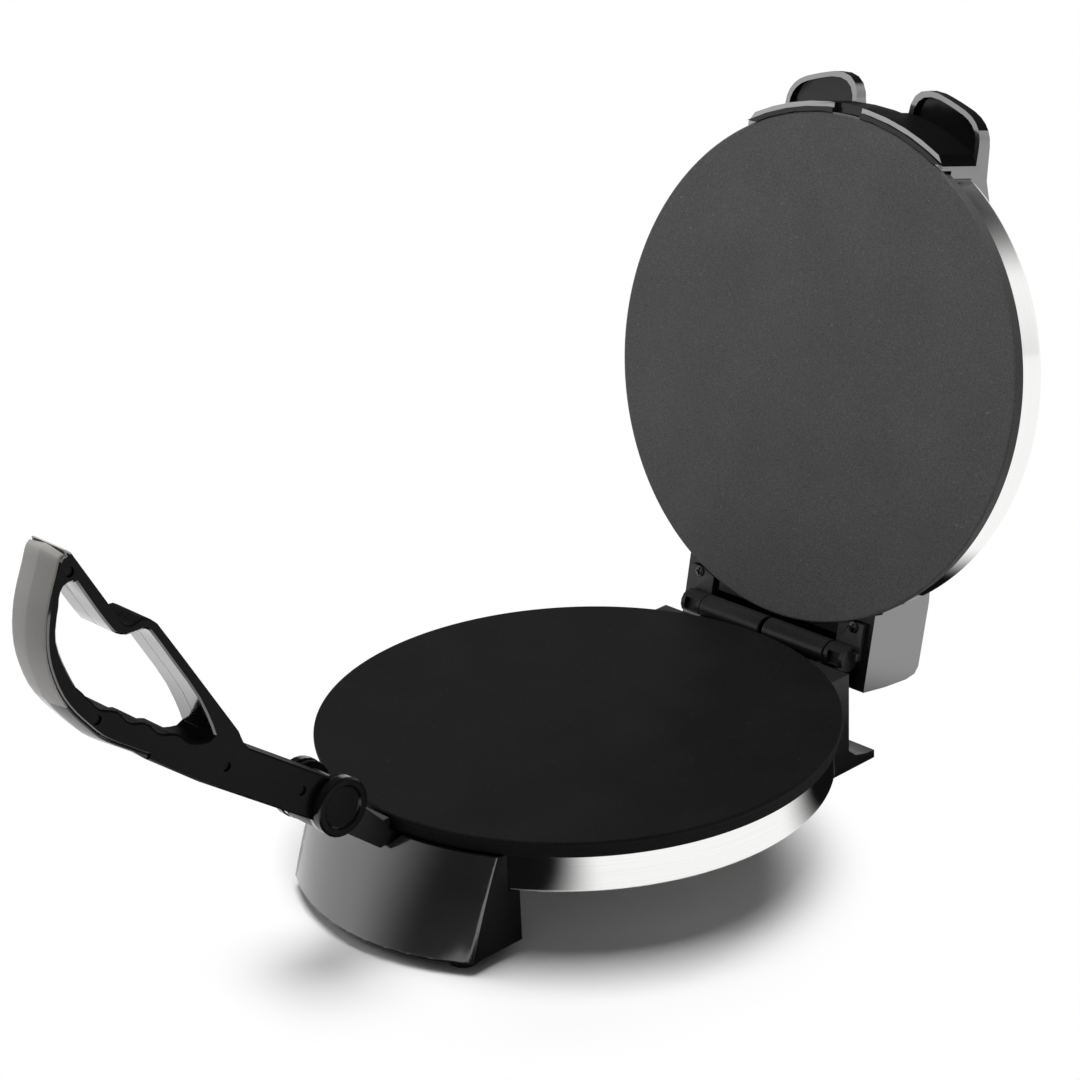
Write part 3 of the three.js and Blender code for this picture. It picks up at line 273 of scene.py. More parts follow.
BLACK_COAT = coated_metal(
    "black_coat",
    dark=(0.0062, 0.0062, 0.0064),
    light=(0.0086, 0.0086, 0.0088),
    roughness=(0.6, 0.72),
    level=0.1,
    speckle=(0.02, 0.02, 0.02),
)
GREY_COAT = coated_metal(
    "grey_coat",
    dark=(0.078, 0.078, 0.079),
    light=(0.088, 0.088, 0.089),
    roughness=(0.58, 0.7),
    level=0.2,
    speckle=(0.14, 0.14, 0.14),
)
BASE_STEEL = brushed_steel("base_steel", turn=(0, 0, 0), tone=STAINLESS, roughness=STAINLESS_ROUGHNESS)
LID_STEEL = brushed_steel("lid_steel", turn=LID_TURN, tone=STAINLESS, roughness=STAINLESS_ROUGHNESS)
GLOSS_BLACK = moulded_plastic(
    "gloss_black",
    dark=(0.005, 0.005, 0.0055),
    light=(0.008, 0.008, 0.0085),
    roughness=(0.1, 0.18),
    relief=0.00001,
)
BRIGHT_BLACK = moulded_plastic(
    "bright_black",
    dark=(0.007, 0.007, 0.0075),
    light=(0.01, 0.01, 0.0105),
    roughness=(0.18, 0.26),
    relief=0.00001,
    gloss=1.0,
    gloss_index=2.0,
)
# A lighter, glossier copy of the black plastic for flanks that face X: painted light on the lid housings' sides.
LIT_FLANK_BLACK = moulded_plastic(
    "lid_black",
    dark=(0.008, 0.008, 0.0085),
    light=(0.012, 0.012, 0.0125),
    roughness=(0.2, 0.3),
    relief=0.00001,
    level=0.8,
    gloss=1.0,
    gloss_index=2.3,
)
# A brighter, strongly mirroring copy of the black plastic: a painted highlight on the lid's collar and lug rims.
RIM_HIGHLIGHT_BLACK = moulded_plastic(
    "rim_highlight_black",
    dark=(0.02, 0.02, 0.0205),
    light=(0.028, 0.028, 0.0285),
    roughness=(0.25, 0.35),
    relief=0.00001,
    level=0.8,
    gloss=1.0,
    gloss_index=3.4,
)
MATT_BLACK = moulded_plastic(
    "matt_black",
    dark=(0.012, 0.012, 0.0125),
    light=(0.017, 0.017, 0.0175),
    roughness=(0.34, 0.44),
    relief=0.00004,
)
# A darker, satin copy of the black plastic: satin texture, and painted shade on the flanks it is given.
SHADED_SATIN_BLACK = moulded_plastic(
    "shaded_satin_black",
    dark=(0.002, 0.002, 0.0022),
    light=(0.0032, 0.0032, 0.0034),
    roughness=(0.26, 0.36),
    relief=0.00002,
    level=0.1,
)
# A dull black that mirrors almost nothing, put on upward faces as painted shade.
DULL_SHADE_BLACK = moulded_plastic(
    "dull_shade_black",
    dark=(0.004, 0.004, 0.0042),
    light=(0.006, 0.006, 0.0063),
    roughness=(0.5, 0.6),
    relief=0.00002,
    level=0.02,
)
WARM_GREY = moulded_plastic(
    "warm_grey",
    dark=(0.34, 0.328, 0.315),
    light=(0.38, 0.367, 0.352),
    roughness=(0.36, 0.48),
    relief=0.00004,
)
RUBBER = moulded_plastic(
    "rubber_black",
    dark=(0.012, 0.012, 0.012),
    light=(0.02, 0.02, 0.02),
    roughness=(0.75, 0.9),
    relief=0.00008,
    level=0.3,
)
CERAMIC = moulded_plastic(
    "fired_ceramic",
    dark=(0.66, 0.63, 0.55),
    light=(0.74, 0.71, 0.63),
    roughness=(0.5, 0.65),
    relief=0.00006,
    level=0.4,
)
STEEL = plain_metal("fitting_steel", tone=(0.55, 0.55, 0.54), roughness=(0.22, 0.4))
DARK_STEEL = plain_metal("dark_fitting_steel", tone=(0.02, 0.02, 0.02), roughness=(0.4, 0.55))
SCREW_BLACK = plain_metal("black_fitting_steel", tone=(0.09, 0.09, 0.09), roughness=(0.25, 0.4))
ALUMINIUM = plain_metal("rolled_aluminium", tone=(0.62, 0.62, 0.61), roughness=(0.35, 0.5))


# Sizes of the round pieces, in millimetres from the lower plate's face

PLATE_RADIUS = 152.5
RIM_RADIUS = 150.7
RIM_INNER = 146.7
RIM_HEIGHT = 10
PLATE_THICKNESS = 4
PLATE_EDGE = 2.6
PLATE_ROUND = 1.3
RIM_ROUND = 0.5
SHEET_ROUND = 0.3

BAND_TOP = -10.3
BAND_BOTTOM = -33
BAND_RADIUS = 148.5
BAND_FOOT_RADIUS = 147.7
FLANGE_RADIUS = 137.7
SEAT_RADIUS = 143
SHEET = 0.9
BAND_TOP_ROUND = 0.8
BAND_FOOT_ROUND = 1.5
INNER_TOP_ROUND = 0.4
INNER_FOOT_ROUND = 0.6

LID_GAP = 0.8
COVER_LOW = 11.1
SHOULDER = 30.1
DOME_TOP = 51
DOME_POINTS = [(145.5, 34.3), (138.1, 40.6), (126.2, 45.8), (95, 49.3)]
DOME_ROUND = 2.5
SHOULDER_ROUND = 1


# Pieces: meshes from numpy arrays, or smoothed copies of the solids


def make_object(name, vertices, faces, material, body, node):
    """A shaded object from arrays of points and faces, which rides on a body and may stand for a node."""
    mesh = bpy.data.meshes.new(name)
    mesh.from_pydata([tuple(point) for point in vertices], [], [tuple(face) for face in faces])
    mesh.update()
    mesh.materials.append(material)
    piece = bpy.data.objects.new(name, mesh)
    bpy.context.scene.collection.objects.link(piece)
    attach(piece, body)
    if node:
        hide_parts(node)
    return piece


def shade_by_angle(mesh, degrees):
    """Smooth shading with edges sharper than the angle kept crisp."""
    mesh.polygons.foreach_set("use_smooth", np.ones(len(mesh.polygons), dtype=bool))
    mesh.set_sharp_from_angle(angle=math.radians(degrees))


# Turned pieces: how near points are merged, how far past an arc the flat is held, and how finely both turn

MERGE = 0.000002
HELD = 0.4
ARC_STEPS = 5
ROUND_SEGMENTS = 288
SMALL_SEGMENTS = 96
ROUND_SHARP = 30
DOME_SHARP = 50


def rounded_profile(corners):
    """A profile of radius and height with each corner rounded by its own radius.

    Each corner is (radius, height, round). Its arc is a quadratic curve from a point that far back along
    the incoming edge to a point that far along the outgoing one. A point just past either end of the arc
    holds the flat beside it flat in the shading.
    """
    points = []
    places = [np.array(corner[:2], dtype=float) for corner in corners]
    for i, (_, _, size) in enumerate(corners):
        here = places[i]
        if size == 0:
            points.append(here)
            continue
        before = places[i - 1] - here
        after = places[(i + 1) % len(places)] - here

        def held(edge, size=size, here=here):
            length = np.linalg.norm(edge)
            return here + edge / length * min(size + HELD, (size + length) / 2)

        start = here + before / np.linalg.norm(before) * size
        end = here + after / np.linalg.norm(after) * size
        t = np.linspace(0, 1, ARC_STEPS + 1)[:, None]
        arc = (1 - t) ** 2 * start + 2 * t * (1 - t) * here + t**2 * end
        points.extend([held(before), *arc, held(after)])
    return np.array(points)


def revolve(profile, segments):
    """A closed profile turned about Z: x = r cos a, y = r sin a, z = h, for a over the whole turn.

    Rings are closed by joining the last profile point to the first. Points on the axis stay as a ring of
    equal points, merged afterwards.
    """
    turn = np.linspace(0, 2 * np.pi, segments, endpoint=False)
    radius, height = profile[:, 0], profile[:, 1]
    x = radius[:, None] * np.cos(turn)
    y = radius[:, None] * np.sin(turn)
    z = np.repeat(height[:, None], segments, axis=1)
    points = np.stack([x, y, z], axis=-1).reshape(-1, 3)
    rows = np.arange(len(profile))
    columns = np.arange(segments)
    i, j = np.meshgrid(rows, columns, indexing="ij")
    below, beside = (i + 1) % len(profile), (j + 1) % segments
    faces = np.stack(
        [i * segments + j, i * segments + beside, below * segments + beside, below * segments + j], axis=-1
    ).reshape(-1, 4)
    return points, faces


def merged(piece):
    """Joins the points that lie together and turns every face outwards."""
    work = bmesh.new()
    work.from_mesh(piece.data)
    bmesh.ops.remove_doubles(work, verts=work.verts, dist=MERGE)
    bmesh.ops.recalc_face_normals(work, faces=work.faces)
    work.to_mesh(piece.data)
    work.free()


def base_place(points):
    """From plate coordinates to the frame, for what stays with the base."""
    return points + np.array(PLATE_CENTRE)


def lid_place(points):
    """From plate coordinates with the lid closed to the lid at rest, turned back about its hinge."""
    hinge = np.array(LID_HINGE - PLATE_CENTRE)
    offset = points - hinge
    cosine, sine = math.cos(LID_OPEN), math.sin(LID_OPEN)
    y = offset[:, 1] * cosine + offset[:, 2] * sine
    z = offset[:, 2] * cosine - offset[:, 1] * sine
    return np.stack([offset[:, 0], y, z], axis=1) + hinge + np.array(PLATE_CENTRE)


def turned_piece(node, corners, place, material, body, sharp):
    """A round piece of the plates' axis in place of its solid, from its section's corners."""
    points, faces = revolve(rounded_profile(corners) * MM, ROUND_SEGMENTS)
    piece = make_object(f"{node}_finish", place(points), faces, material, body, node)
    merged(piece)
    shade_by_angle(piece.data, sharp)


# Smoothed copies of the moulded solids

COPY_MERGE = 0.000005
FLAT = math.radians(0.1)
SHARP = 32
EDGE_SEGMENTS = 3


def smoothed_copy(node, body, material, width):
    """A copy of a solid with its facets merged and its edges rounded by a real width in metres."""
    source = frame["nodes"][node]
    mesh = source.data.copy()
    work = bmesh.new()
    work.from_mesh(mesh)
    bmesh.ops.remove_doubles(work, verts=work.verts, dist=COPY_MERGE)
    bmesh.ops.dissolve_limit(work, angle_limit=FLAT, verts=work.verts, edges=work.edges)
    work.to_mesh(mesh)
    work.free()
    mesh.materials.clear()
    mesh.materials.append(material)
    piece = bpy.data.objects.new(f"{node}_finish", mesh)
    bpy.context.scene.collection.objects.link(piece)
    shade_by_angle(mesh, SHARP)
    rounding = piece.modifiers.new("edges", "BEVEL")
    rounding.width = width
    rounding.segments = EDGE_SEGMENTS
    rounding.limit_method = "ANGLE"
    rounding.angle_limit = math.radians(SHARP)
    rounding.harden_normals = True
    rounding.use_clamp_overlap = True
    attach(piece, body)
    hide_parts(node)
    return piece


# Front housing, in millimetres from the lower plate's face

LEG_FLOOR = -68
LEG_HALF = 75
FRONT_TOP_RADIUS = 154
FRONT_BOTTOM_REACH = 179.5
FRONT_BOTTOM_RADIUS = 131
FRONT_BULGE = 1
FRONT_CORNER = 4
FRONT_TURN = LEG_HALF - FRONT_CORNER
FACE_SLICES = 41
CORNER_SHARES = np.array([0, 0.3, 0.6, 0.8, 0.93])
LEVEL_SLICES = 15
LOWEST_SLICE = LEG_FLOOR + 2
HIGHEST_SLICE = BAND_TOP - 1

# How near the true face or corner a point has to lie to be moved onto it, and the margins between them
FACE_CATCH = 0.9
CORNER_CATCH = 3
TURN_MARGIN = 0.01
SIDE_MARGIN = 0.05


def front_face(x, z):
    """Depth of the front housing's face: y = r(z) - reach(z) - sqrt(r(z)^2 - x^2).

    The radius and the reach change evenly from the top to the floor, and the reach swells by a parabola.
    """
    drop = (BAND_TOP - z) / (BAND_TOP - LEG_FLOOR)
    radius = FRONT_TOP_RADIUS + (FRONT_BOTTOM_RADIUS - FRONT_TOP_RADIUS) * drop
    swell = FRONT_BULGE * 4 * drop * (1 - drop)
    reach = FRONT_TOP_RADIUS + (FRONT_BOTTOM_REACH - FRONT_TOP_RADIUS) * drop + swell
    return radius - reach - np.sqrt(np.maximum(radius**2 - x**2, 0))


SLICE_CATCH = 0.0000001


def mesh_points(piece):
    """The points of a piece's mesh as rows of x, y and z."""
    points = np.zeros(len(piece.data.vertices) * 3)
    piece.data.vertices.foreach_get("co", points)
    return points.reshape(-1, 3)


def move_points(piece, points):
    """Puts the points of a piece's mesh at new places."""
    piece.data.vertices.foreach_set("co", points.ravel())
    piece.data.update()


def sliced(work, axis, places):
    """Cuts a mesh along planes square to one axis, so that its faces follow a finer grid."""
    normal = Vector([float(axis == i) for i in range(3)])
    for place in places:
        geometry = [*work.verts, *work.edges, *work.faces]
        point = normal * place
        bmesh.ops.bisect_plane(work, geom=geometry, dist=SLICE_CATCH, plane_co=point, plane_no=normal)


def front_corner(x, z):
    """Depth of the housing's rounded corner: a quarter of an ellipse from the face back to the side.

    y = y0 + (y1 - y0) (1 - sqrt(1 - u^2)), where u runs from 0 where the face ends to 1 at the side.
    """
    u = np.clip((np.abs(x) - FRONT_TURN) / FRONT_CORNER, 0, 1)
    start, end = front_face(FRONT_TURN, z), front_face(LEG_HALF, z) + FRONT_CORNER
    return start + (end - start) * (1 - np.sqrt(1 - u**2))


def curve_front(piece):
    """Slices the front housing finely and moves the points of its face and corners onto the true curve."""
    work = bmesh.new()
    work.from_mesh(piece.data)
    across = np.linspace(-FRONT_TURN, FRONT_TURN, FACE_SLICES)[1:-1]
    corner = CORNER_SHARES * FRONT_CORNER + FRONT_TURN
    sliced(work, 0, np.concatenate([across, corner, -corner]) * MM)
    sliced(work, 2, np.linspace(LOWEST_SLICE, HIGHEST_SLICE, LEVEL_SLICES) * MM + PLATE_CENTRE.z)
    work.to_mesh(piece.data)
    work.free()
    points = mesh_points(piece)
    x, y, z = ((points - np.array(PLATE_CENTRE)) / MM).T
    face, side = front_face(x, z), front_corner(x, z)
    past_turn = np.abs(x) > FRONT_TURN + TURN_MARGIN
    on_face = (np.abs(y - face) < FACE_CATCH) & ~past_turn
    on_corner = (np.abs(y - side) < CORNER_CATCH) & past_turn & (np.abs(x) < LEG_HALF - SIDE_MARGIN)
    points[:, 1] = np.where(on_face, face, np.where(on_corner, side, y)) * MM + PLATE_CENTRE.y
    move_points(piece, points)
    shade_by_angle(piece.data, SHARP)


def face_values(piece, name):
    """One vector for each face: its normal or its centre."""
    values = np.zeros(len(piece.data.polygons) * 3)
    piece.data.polygons.foreach_get(name, values)
    return values.reshape(-1, 3)


def partly(piece, material, chosen):
    """Gives the chosen faces a finish of their own."""
    slots = np.zeros(len(piece.data.polygons), dtype=np.int32)
    piece.data.polygons.foreach_get("material_index", slots)
    slots[chosen] = len(piece.data.materials)
    piece.data.materials.append(material)
    piece.data.polygons.foreach_set("material_index", slots)


# How far a face's normal has to lie along a direction to count as facing it

SIDEWAYS = 0.9
UPWARD = 0.3
OUTWARD = 0.97


def sideways(piece):
    """The faces of the two flanks, whose normals lie along X."""
    return np.abs(face_values(piece, "normal")[:, 0]) > SIDEWAYS


def upward(piece):
    """The faces between the flanks that look up."""
    return (face_values(piece, "normal")[:, 2] > UPWARD) & ~sideways(piece)


# How far from the upper plate's face, away from the lower one, the collar and the rims of the lugs lie, which
# carry a painted highlight
EDGE_LEVELS = ((1, 2.5), (32, 34))


def lid_highlight_rims(piece):
    """Faces of the lid's front housing that look out past the plate, on the collar and the lugs' rims, which get a
    painted highlight.
    """
    axis = np.array((0, -math.sin(LID_OPEN), -math.cos(LID_OPEN)))
    plate_face = lid_place(np.array([[0, 0, LID_GAP]]) * MM)[0] @ axis
    level = (face_values(piece, "center") @ axis - plate_face) / -MM
    outward = face_values(piece, "normal") @ axis > OUTWARD
    return outward & np.any([(level > low) & (level < high) for low, high in EDGE_LEVELS], axis=0)


# Palm insert, and the pale tip that the shells carry above it

GRIP_HALF = 14
GRIP_CROWN = 1.7
GRIP_TIP = 9
RIDGE_HALF = 0.5
RIDGE_SOFTNESS = 0.001
OUTER_SIDE = 0.35
FACING_LENGTH = 0.2
ACROSS_HANDLE = np.array([0, 1, 1])
TAIL_FROM_PIVOT_Y = -0.189
TAIL_FROM_PIVOT_Z = 0.12


def crown_grip(piece):
    """Crowns the palm insert and blackens its tail, which is part of the shell's line.

    Across its width the outer face falls away from a soft ridge: drop = crown (sqrt(t^2 + e) - sqrt(e)),
    with t from 0 at the middle to 1 at either side, and e the softness of the ridge. A point belongs to
    the outer face if its normal looks away from the middle of the handle.
    """
    work = bmesh.new()
    work.from_mesh(piece.data)
    sliced(work, 0, [0, -RIDGE_HALF * MM, RIDGE_HALF * MM])
    sliced(work, 1, [PIVOT.y + TAIL_FROM_PIVOT_Y])
    bmesh.ops.triangulate(work, faces=[face for face in work.faces if len(face.verts) > 4])
    work.normal_update()
    facing = np.array([point.normal for point in work.verts]) * ACROSS_HANDLE
    work.to_mesh(piece.data)
    work.free()
    points = mesh_points(piece)
    middle = np.mean(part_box("handle_shell_right"), axis=0)
    away = (points - middle) * ACROSS_HANDLE
    length = np.linalg.norm(facing, axis=1, keepdims=True)
    facing /= np.maximum(length, FACING_LENGTH)
    away /= np.linalg.norm(away, axis=1, keepdims=True)
    outer = (length[:, 0] >= FACING_LENGTH) & (np.sum(facing * away, axis=1) >= OUTER_SIDE)
    t = np.abs(points[:, 0]) / (GRIP_HALF * MM)
    drop = GRIP_CROWN * MM * (np.sqrt(t * t + RIDGE_SOFTNESS) - np.sqrt(RIDGE_SOFTNESS))
    move_points(piece, points - facing * (drop * outer)[:, None])
    centres = face_values(piece, "center") - np.array(PIVOT)
    partly(piece, GLOSS_BLACK, (centres[:, 1] > TAIL_FROM_PIVOT_Y) & (centres[:, 2] < TAIL_FROM_PIVOT_Z))
    shade_by_angle(piece.data, SHARP)


# Tab screws of the hinge arms

SCREW_HEAD_RADIUS = 3.4
SCREW_HEAD = 2.4
SCREW_SHANK = 2
SCREW_LENGTH = 10
SCREW_TIP = 1
SCREW_DOME = 0.5
DOME_STEPS = 26
CROSS_REACH = 2
CROSS_HALF = 0.42
CROSS_DEPTH = 1.2
CROSS_WALL = 0.15
CROSS_END = 0.4
SCREW_SHARP = 35
TAB_FACE = 1.9
TAB_SCREW = (62.7, 143.2, LID_GAP + TAB_FACE - SCREW_HEAD)


def make_tab_screws():
    """Two pan-head screws with a cross recess, head down with the lid closed.

    The head is a low dome, z = -dome (1 - s^2), with s from 0 on the axis to 1 at its edge. The cross is
    cut by a depth that falls off evenly past half an arm's width and past its reach.
    """
    share = np.linspace(0, 1, DOME_STEPS)
    head = np.stack([share * SCREW_HEAD_RADIUS, -SCREW_DOME * (1 - share**2)], axis=1)
    body = [
        (SCREW_HEAD_RADIUS, SCREW_HEAD),
        (SCREW_SHANK, SCREW_HEAD),
        (SCREW_SHANK, SCREW_HEAD + SCREW_LENGTH - SCREW_TIP),
        (SCREW_SHANK / 2, SCREW_HEAD + SCREW_LENGTH),
        (0, SCREW_HEAD + SCREW_LENGTH),
    ]
    for name, side in (("right", 1), ("left", -1)):
        points, faces = revolve(np.concatenate([head, body]), SMALL_SEGMENTS)
        x, y, z = points.T
        along, across = np.maximum(np.abs(x), np.abs(y)), np.minimum(np.abs(x), np.abs(y))
        in_arm = np.clip((CROSS_HALF - across) / CROSS_WALL + 1, 0, 1)
        in_reach = np.clip((CROSS_REACH - along) / CROSS_END + 1, 0, 1)
        z = z + CROSS_DEPTH * in_arm * in_reach * (z <= 0)
        placed = np.stack([x + side * TAB_SCREW[0], y + TAB_SCREW[1], z + TAB_SCREW[2]], axis=1) * MM
        node = f"hinge_arm_screw_{name}"
        piece = make_object(f"{node}_finish", lid_place(placed), faces, SCREW_BLACK, "lid", node)
        merged(piece)
        shade_by_angle(piece.data, SCREW_SHARP)


# Hinge barrels

BARREL_RADIUS = 8
BARREL_BORE = 3.2
BARREL_INNER = 1.5
BARREL_OUTER = 50
BARREL_ROUND = 0.7


def hinge_place(points):
    """From a profile turned about its own axis, kept as Z, to the hinge line along X."""
    along = np.stack([points[:, 2], points[:, 0], points[:, 1]], axis=1)
    return along + np.array(LID_HINGE)


def make_hinge_barrels():
    """Two moulded barrels round the hinge pin, rounded at their ends."""
    for name, side in (("right", 1), ("left", -1)):
        corners = [
            (BARREL_BORE, side * BARREL_INNER, 0),
            (BARREL_RADIUS, side * BARREL_INNER, BARREL_ROUND),
            (BARREL_RADIUS, side * BARREL_OUTER, BARREL_ROUND),
            (BARREL_BORE, side * BARREL_OUTER, 0),
        ]
        points, faces = revolve(rounded_profile(corners) * MM, SMALL_SEGMENTS)
        node = f"hinge_barrel_{name}"
        piece = make_object(node, hinge_place(points), faces, MATT_BLACK, "base", None)
        merged(piece)
        shade_by_angle(piece.data, ROUND_SHARP)


# Finishes by material slot, and by node where a piece differs from its slot

SLOT_FINISHES = {
    "black_plate": BLACK_COAT,
    "grey_plate": GREY_COAT,
    "stainless": BASE_STEEL,
    "black_plastic": GLOSS_BLACK,
    "grey_grip": WARM_GREY,
    "steel": STEEL,
    "dark_steel": DARK_STEEL,
    "aluminium": ALUMINIUM,
    "rubber": RUBBER,
    "ceramic": CERAMIC,
}
NODE_FINISHES = {
    "front_housing": BRIGHT_BLACK,
    "handle_shell_right": BRIGHT_BLACK,
    "handle_shell_left": BRIGHT_BLACK,
    "rear_housing": MATT_BLACK,
    "handle_bracket": MATT_BLACK,
    "hinge_arm_right": MATT_BLACK,
    "hinge_arm_left": MATT_BLACK,
}

# How far the edges of the moulded pieces are rounded, in millimetres
EDGE_ROUNDS = {
    "front_housing": 1.2,
    "rear_housing": 0.8,
    "lid_front_housing": 1.6,
    "lid_rear_housing": 1.5,
    "handle_bracket": 0.8,
    "hinge_arm_right": 0.6,
    "hinge_arm_left": 0.6,
    "pivot_cap_right": 0.5,
    "pivot_cap_left": 0.5,
    "handle_shell_right": 0.35,
    "handle_shell_left": 0.35,
    "handle_grip": 0.15,
}


def finish_handle_shell(piece, node):
    """A shell's satin flanks in a darker copy that paints shade, its dull upward faces as painted shade and its
    grey tip.
    """
    partly(piece, SHADED_SATIN_BLACK, sideways(piece))
    partly(piece, DULL_SHADE_BLACK, upward(piece))
    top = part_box(node)[1][2]
    partly(piece, WARM_GREY, upward(piece) & (face_values(piece, "center")[:, 2] > top - GRIP_TIP * MM))


def finish_moulded(piece, node):
    """Curves the moulded pieces that have a swell and gives some of their faces a finish of their own: darker
    flanks and dull upward faces as painted shade, lighter lid flanks as painted light and brighter lid rims as a
    painted highlight.
    """
    if node == "front_housing":
        curve_front(piece)
        # The front housing's flanks take the darker copy, painted shade.
        partly(piece, SHADED_SATIN_BLACK, sideways(piece))
    if node.startswith("pivot_cap"):
        # The caps' flanks take the darker copy, painted shade.
        partly(piece, SHADED_SATIN_BLACK, sideways(piece))
    if node.startswith("handle_shell"):
        finish_handle_shell(piece, node)
    if node.startswith("lid_"):
        # The lid housings' flanks take the lighter copy, painted light.
        partly(piece, LIT_FLANK_BLACK, sideways(piece))
    if node == "lid_front_housing":
        # Upward faces of the crown take the dull black, painted shade.
        partly(piece, DULL_SHADE_BLACK, upward(piece))
        # The collar and lug rims take the brighter copy, a painted highlight.
        partly(piece, RIM_HIGHLIGHT_BLACK, lid_highlight_rims(piece))
    if node == "handle_grip":
        crown_grip(piece)


def finish_nodes():
    """Smoothed copies for the moulded pieces, and materials for the rest."""
    for node, source in frame["nodes"].items():
        slot = slot_of(node)
        material = NODE_FINISHES.get(node, SLOT_FINISHES[slot])
        if node in EDGE_ROUNDS:
            piece = smoothed_copy(node, body_holding(node), material, EDGE_ROUNDS[node] * MM)
            finish_moulded(piece, node)
            continue
        source.data.materials.clear()
        source.data.materials.append(material)


def plate_corners(flip, lift):
    """The plate's section, upright or turned over, with its face at the given height."""
    shape = [
        (0, 0, 0),
        (PLATE_RADIUS, 0, PLATE_ROUND),
        (PLATE_RADIUS, -PLATE_EDGE, RIM_ROUND),
        (RIM_RADIUS, -PLATE_EDGE, SHEET_ROUND),
        (RIM_RADIUS, -RIM_HEIGHT, RIM_ROUND),
        (RIM_INNER, -RIM_HEIGHT, RIM_ROUND),
        (RIM_INNER, -PLATE_THICKNESS, RIM_ROUND),
        (0, -PLATE_THICKNESS, 0),
    ]
    return [(radius, lift + flip * height, size) for radius, height, size in shape]


def band_corners():
    """The base band's section: a seat under the plate, an upright wall and a flange turned in below."""
    return [
        (SEAT_RADIUS, BAND_TOP, SHEET_ROUND),
        (BAND_RADIUS, BAND_TOP, BAND_TOP_ROUND),
        (BAND_FOOT_RADIUS, BAND_BOTTOM, BAND_FOOT_ROUND),
        (FLANGE_RADIUS, BAND_BOTTOM, SHEET_ROUND),
        (FLANGE_RADIUS, BAND_BOTTOM + SHEET, SHEET_ROUND),
        (BAND_FOOT_RADIUS - SHEET, BAND_BOTTOM + SHEET, INNER_FOOT_ROUND),
        (BAND_RADIUS - SHEET, BAND_TOP - SHEET, INNER_TOP_ROUND),
        (SEAT_RADIUS, BAND_TOP - SHEET, SHEET_ROUND),
    ]


def cover_corners():
    """The lid cover's section: an upright wall, a rounded shoulder and a low dome of even sheet."""
    dome = [(radius, height, DOME_ROUND) for radius, height in DOME_POINTS]
    inner = [(radius - SHEET, height - SHEET, DOME_ROUND) for radius, height in reversed(DOME_POINTS)]
    return [
        (SEAT_RADIUS, COVER_LOW, SHEET_ROUND),
        (BAND_RADIUS, COVER_LOW, BAND_TOP_ROUND),
        (BAND_RADIUS, SHOULDER, SHOULDER_ROUND),
        *dome,
        (0, DOME_TOP, 0),
        (0, DOME_TOP - SHEET, 0),
        *inner,
        (BAND_RADIUS - SHEET, SHOULDER - SHEET, 0),
        (BAND_RADIUS - SHEET, COVER_LOW + SHEET, INNER_TOP_ROUND),
        (SEAT_RADIUS, COVER_LOW + SHEET, SHEET_ROUND),
    ]


def make_round_pieces():
    """Both plates, the base band and the lid cover, turned about the plates' axis."""
    turned_piece("lower_plate", plate_corners(1, 0), base_place, BLACK_COAT, "base", ROUND_SHARP)
    turned_piece("upper_plate", plate_corners(-1, LID_GAP), lid_place, GREY_COAT, "lid", ROUND_SHARP)
    turned_piece("base_band", band_corners(), base_place, BASE_STEEL, "base", ROUND_SHARP)
    turned_piece("lid_cover", cover_corners(), lid_place, LID_STEEL, "lid", DOME_SHARP)


# Studio: a white floor and surround with soft lamps

FLOOR_SIZE = 14
FLOOR_WHITE = 0.92
FLOOR_ROUGHNESS = 0.8
FLOOR_GLOSS = 0.1
FLOOR_MIDDLE = (0.02, -0.02, 0)
FLOOR_FADE = (0.13, 0.205)

# Painted dark patches on the floor that only reflections see, a painted reflection shade where the steel darkens
# towards its ends: centre, full, reach
REFLECTION_SHADE_PATCHES = [
    ((0.09, -0.2, 0), 0.075, 0.14),
    ((0.12, 0.22, 0), 0.04, 0.12),
    ((0.03, 0.32, 0), 0.05, 0.12),
]
REFLECTION_SHADE_LEVEL = 0.005

SOFT_LIGHT = 0.09
CEILING = 0.02
CEILING_HEIGHTS = (0.28, 0.43)
ROOM_SIDE = (0.8, -0.6, 0)
ROOM = 0.05
ROOM_REACH = (-0.2, 0.5)

# Name, place, target, width and power of each lamp
LAMPS = [
    ("overhead", (-0.1, 0.12, 1.6), (0, 0.05, 0), 1.1, 28),
    ("front", (1.1, -1.3, 1.3), (0, 0, 0.2), 1.0, 0.8),
    ("left", (-1.3, -0.8, 0.9), (0, 0, 0.2), 0.8, 6),
]


def make_floor():
    """A square floor about the origin, part of the stage."""
    half = FLOOR_SIZE / 2
    corners = [(-half, -half, 0), (half, -half, 0), (half, half, 0), (-half, half, 0)]
    mesh = bpy.data.meshes.new("floor")
    mesh.from_pydata(corners, [], [(0, 1, 2, 3)])
    mesh.materials.append(floor_material())
    floor = bpy.data.objects.new("floor", mesh)
    bpy.context.scene.collection.objects.link(floor)


def area_lamp(name, place, target, width, power):
    """A square soft lamp that looks at its target and shows in no reflection."""
    data = bpy.data.lights.new(name, "AREA")
    data.shape = "RECTANGLE"
    data.size = data.size_y = width
    data.energy = power
    lamp = bpy.data.objects.new(name, data)
    lamp.visible_glossy = False
    lamp.location = place
    lamp.rotation_euler = (Vector(target) - Vector(place)).to_track_quat("-Z", "Y").to_euler()
    bpy.context.scene.collection.objects.link(lamp)


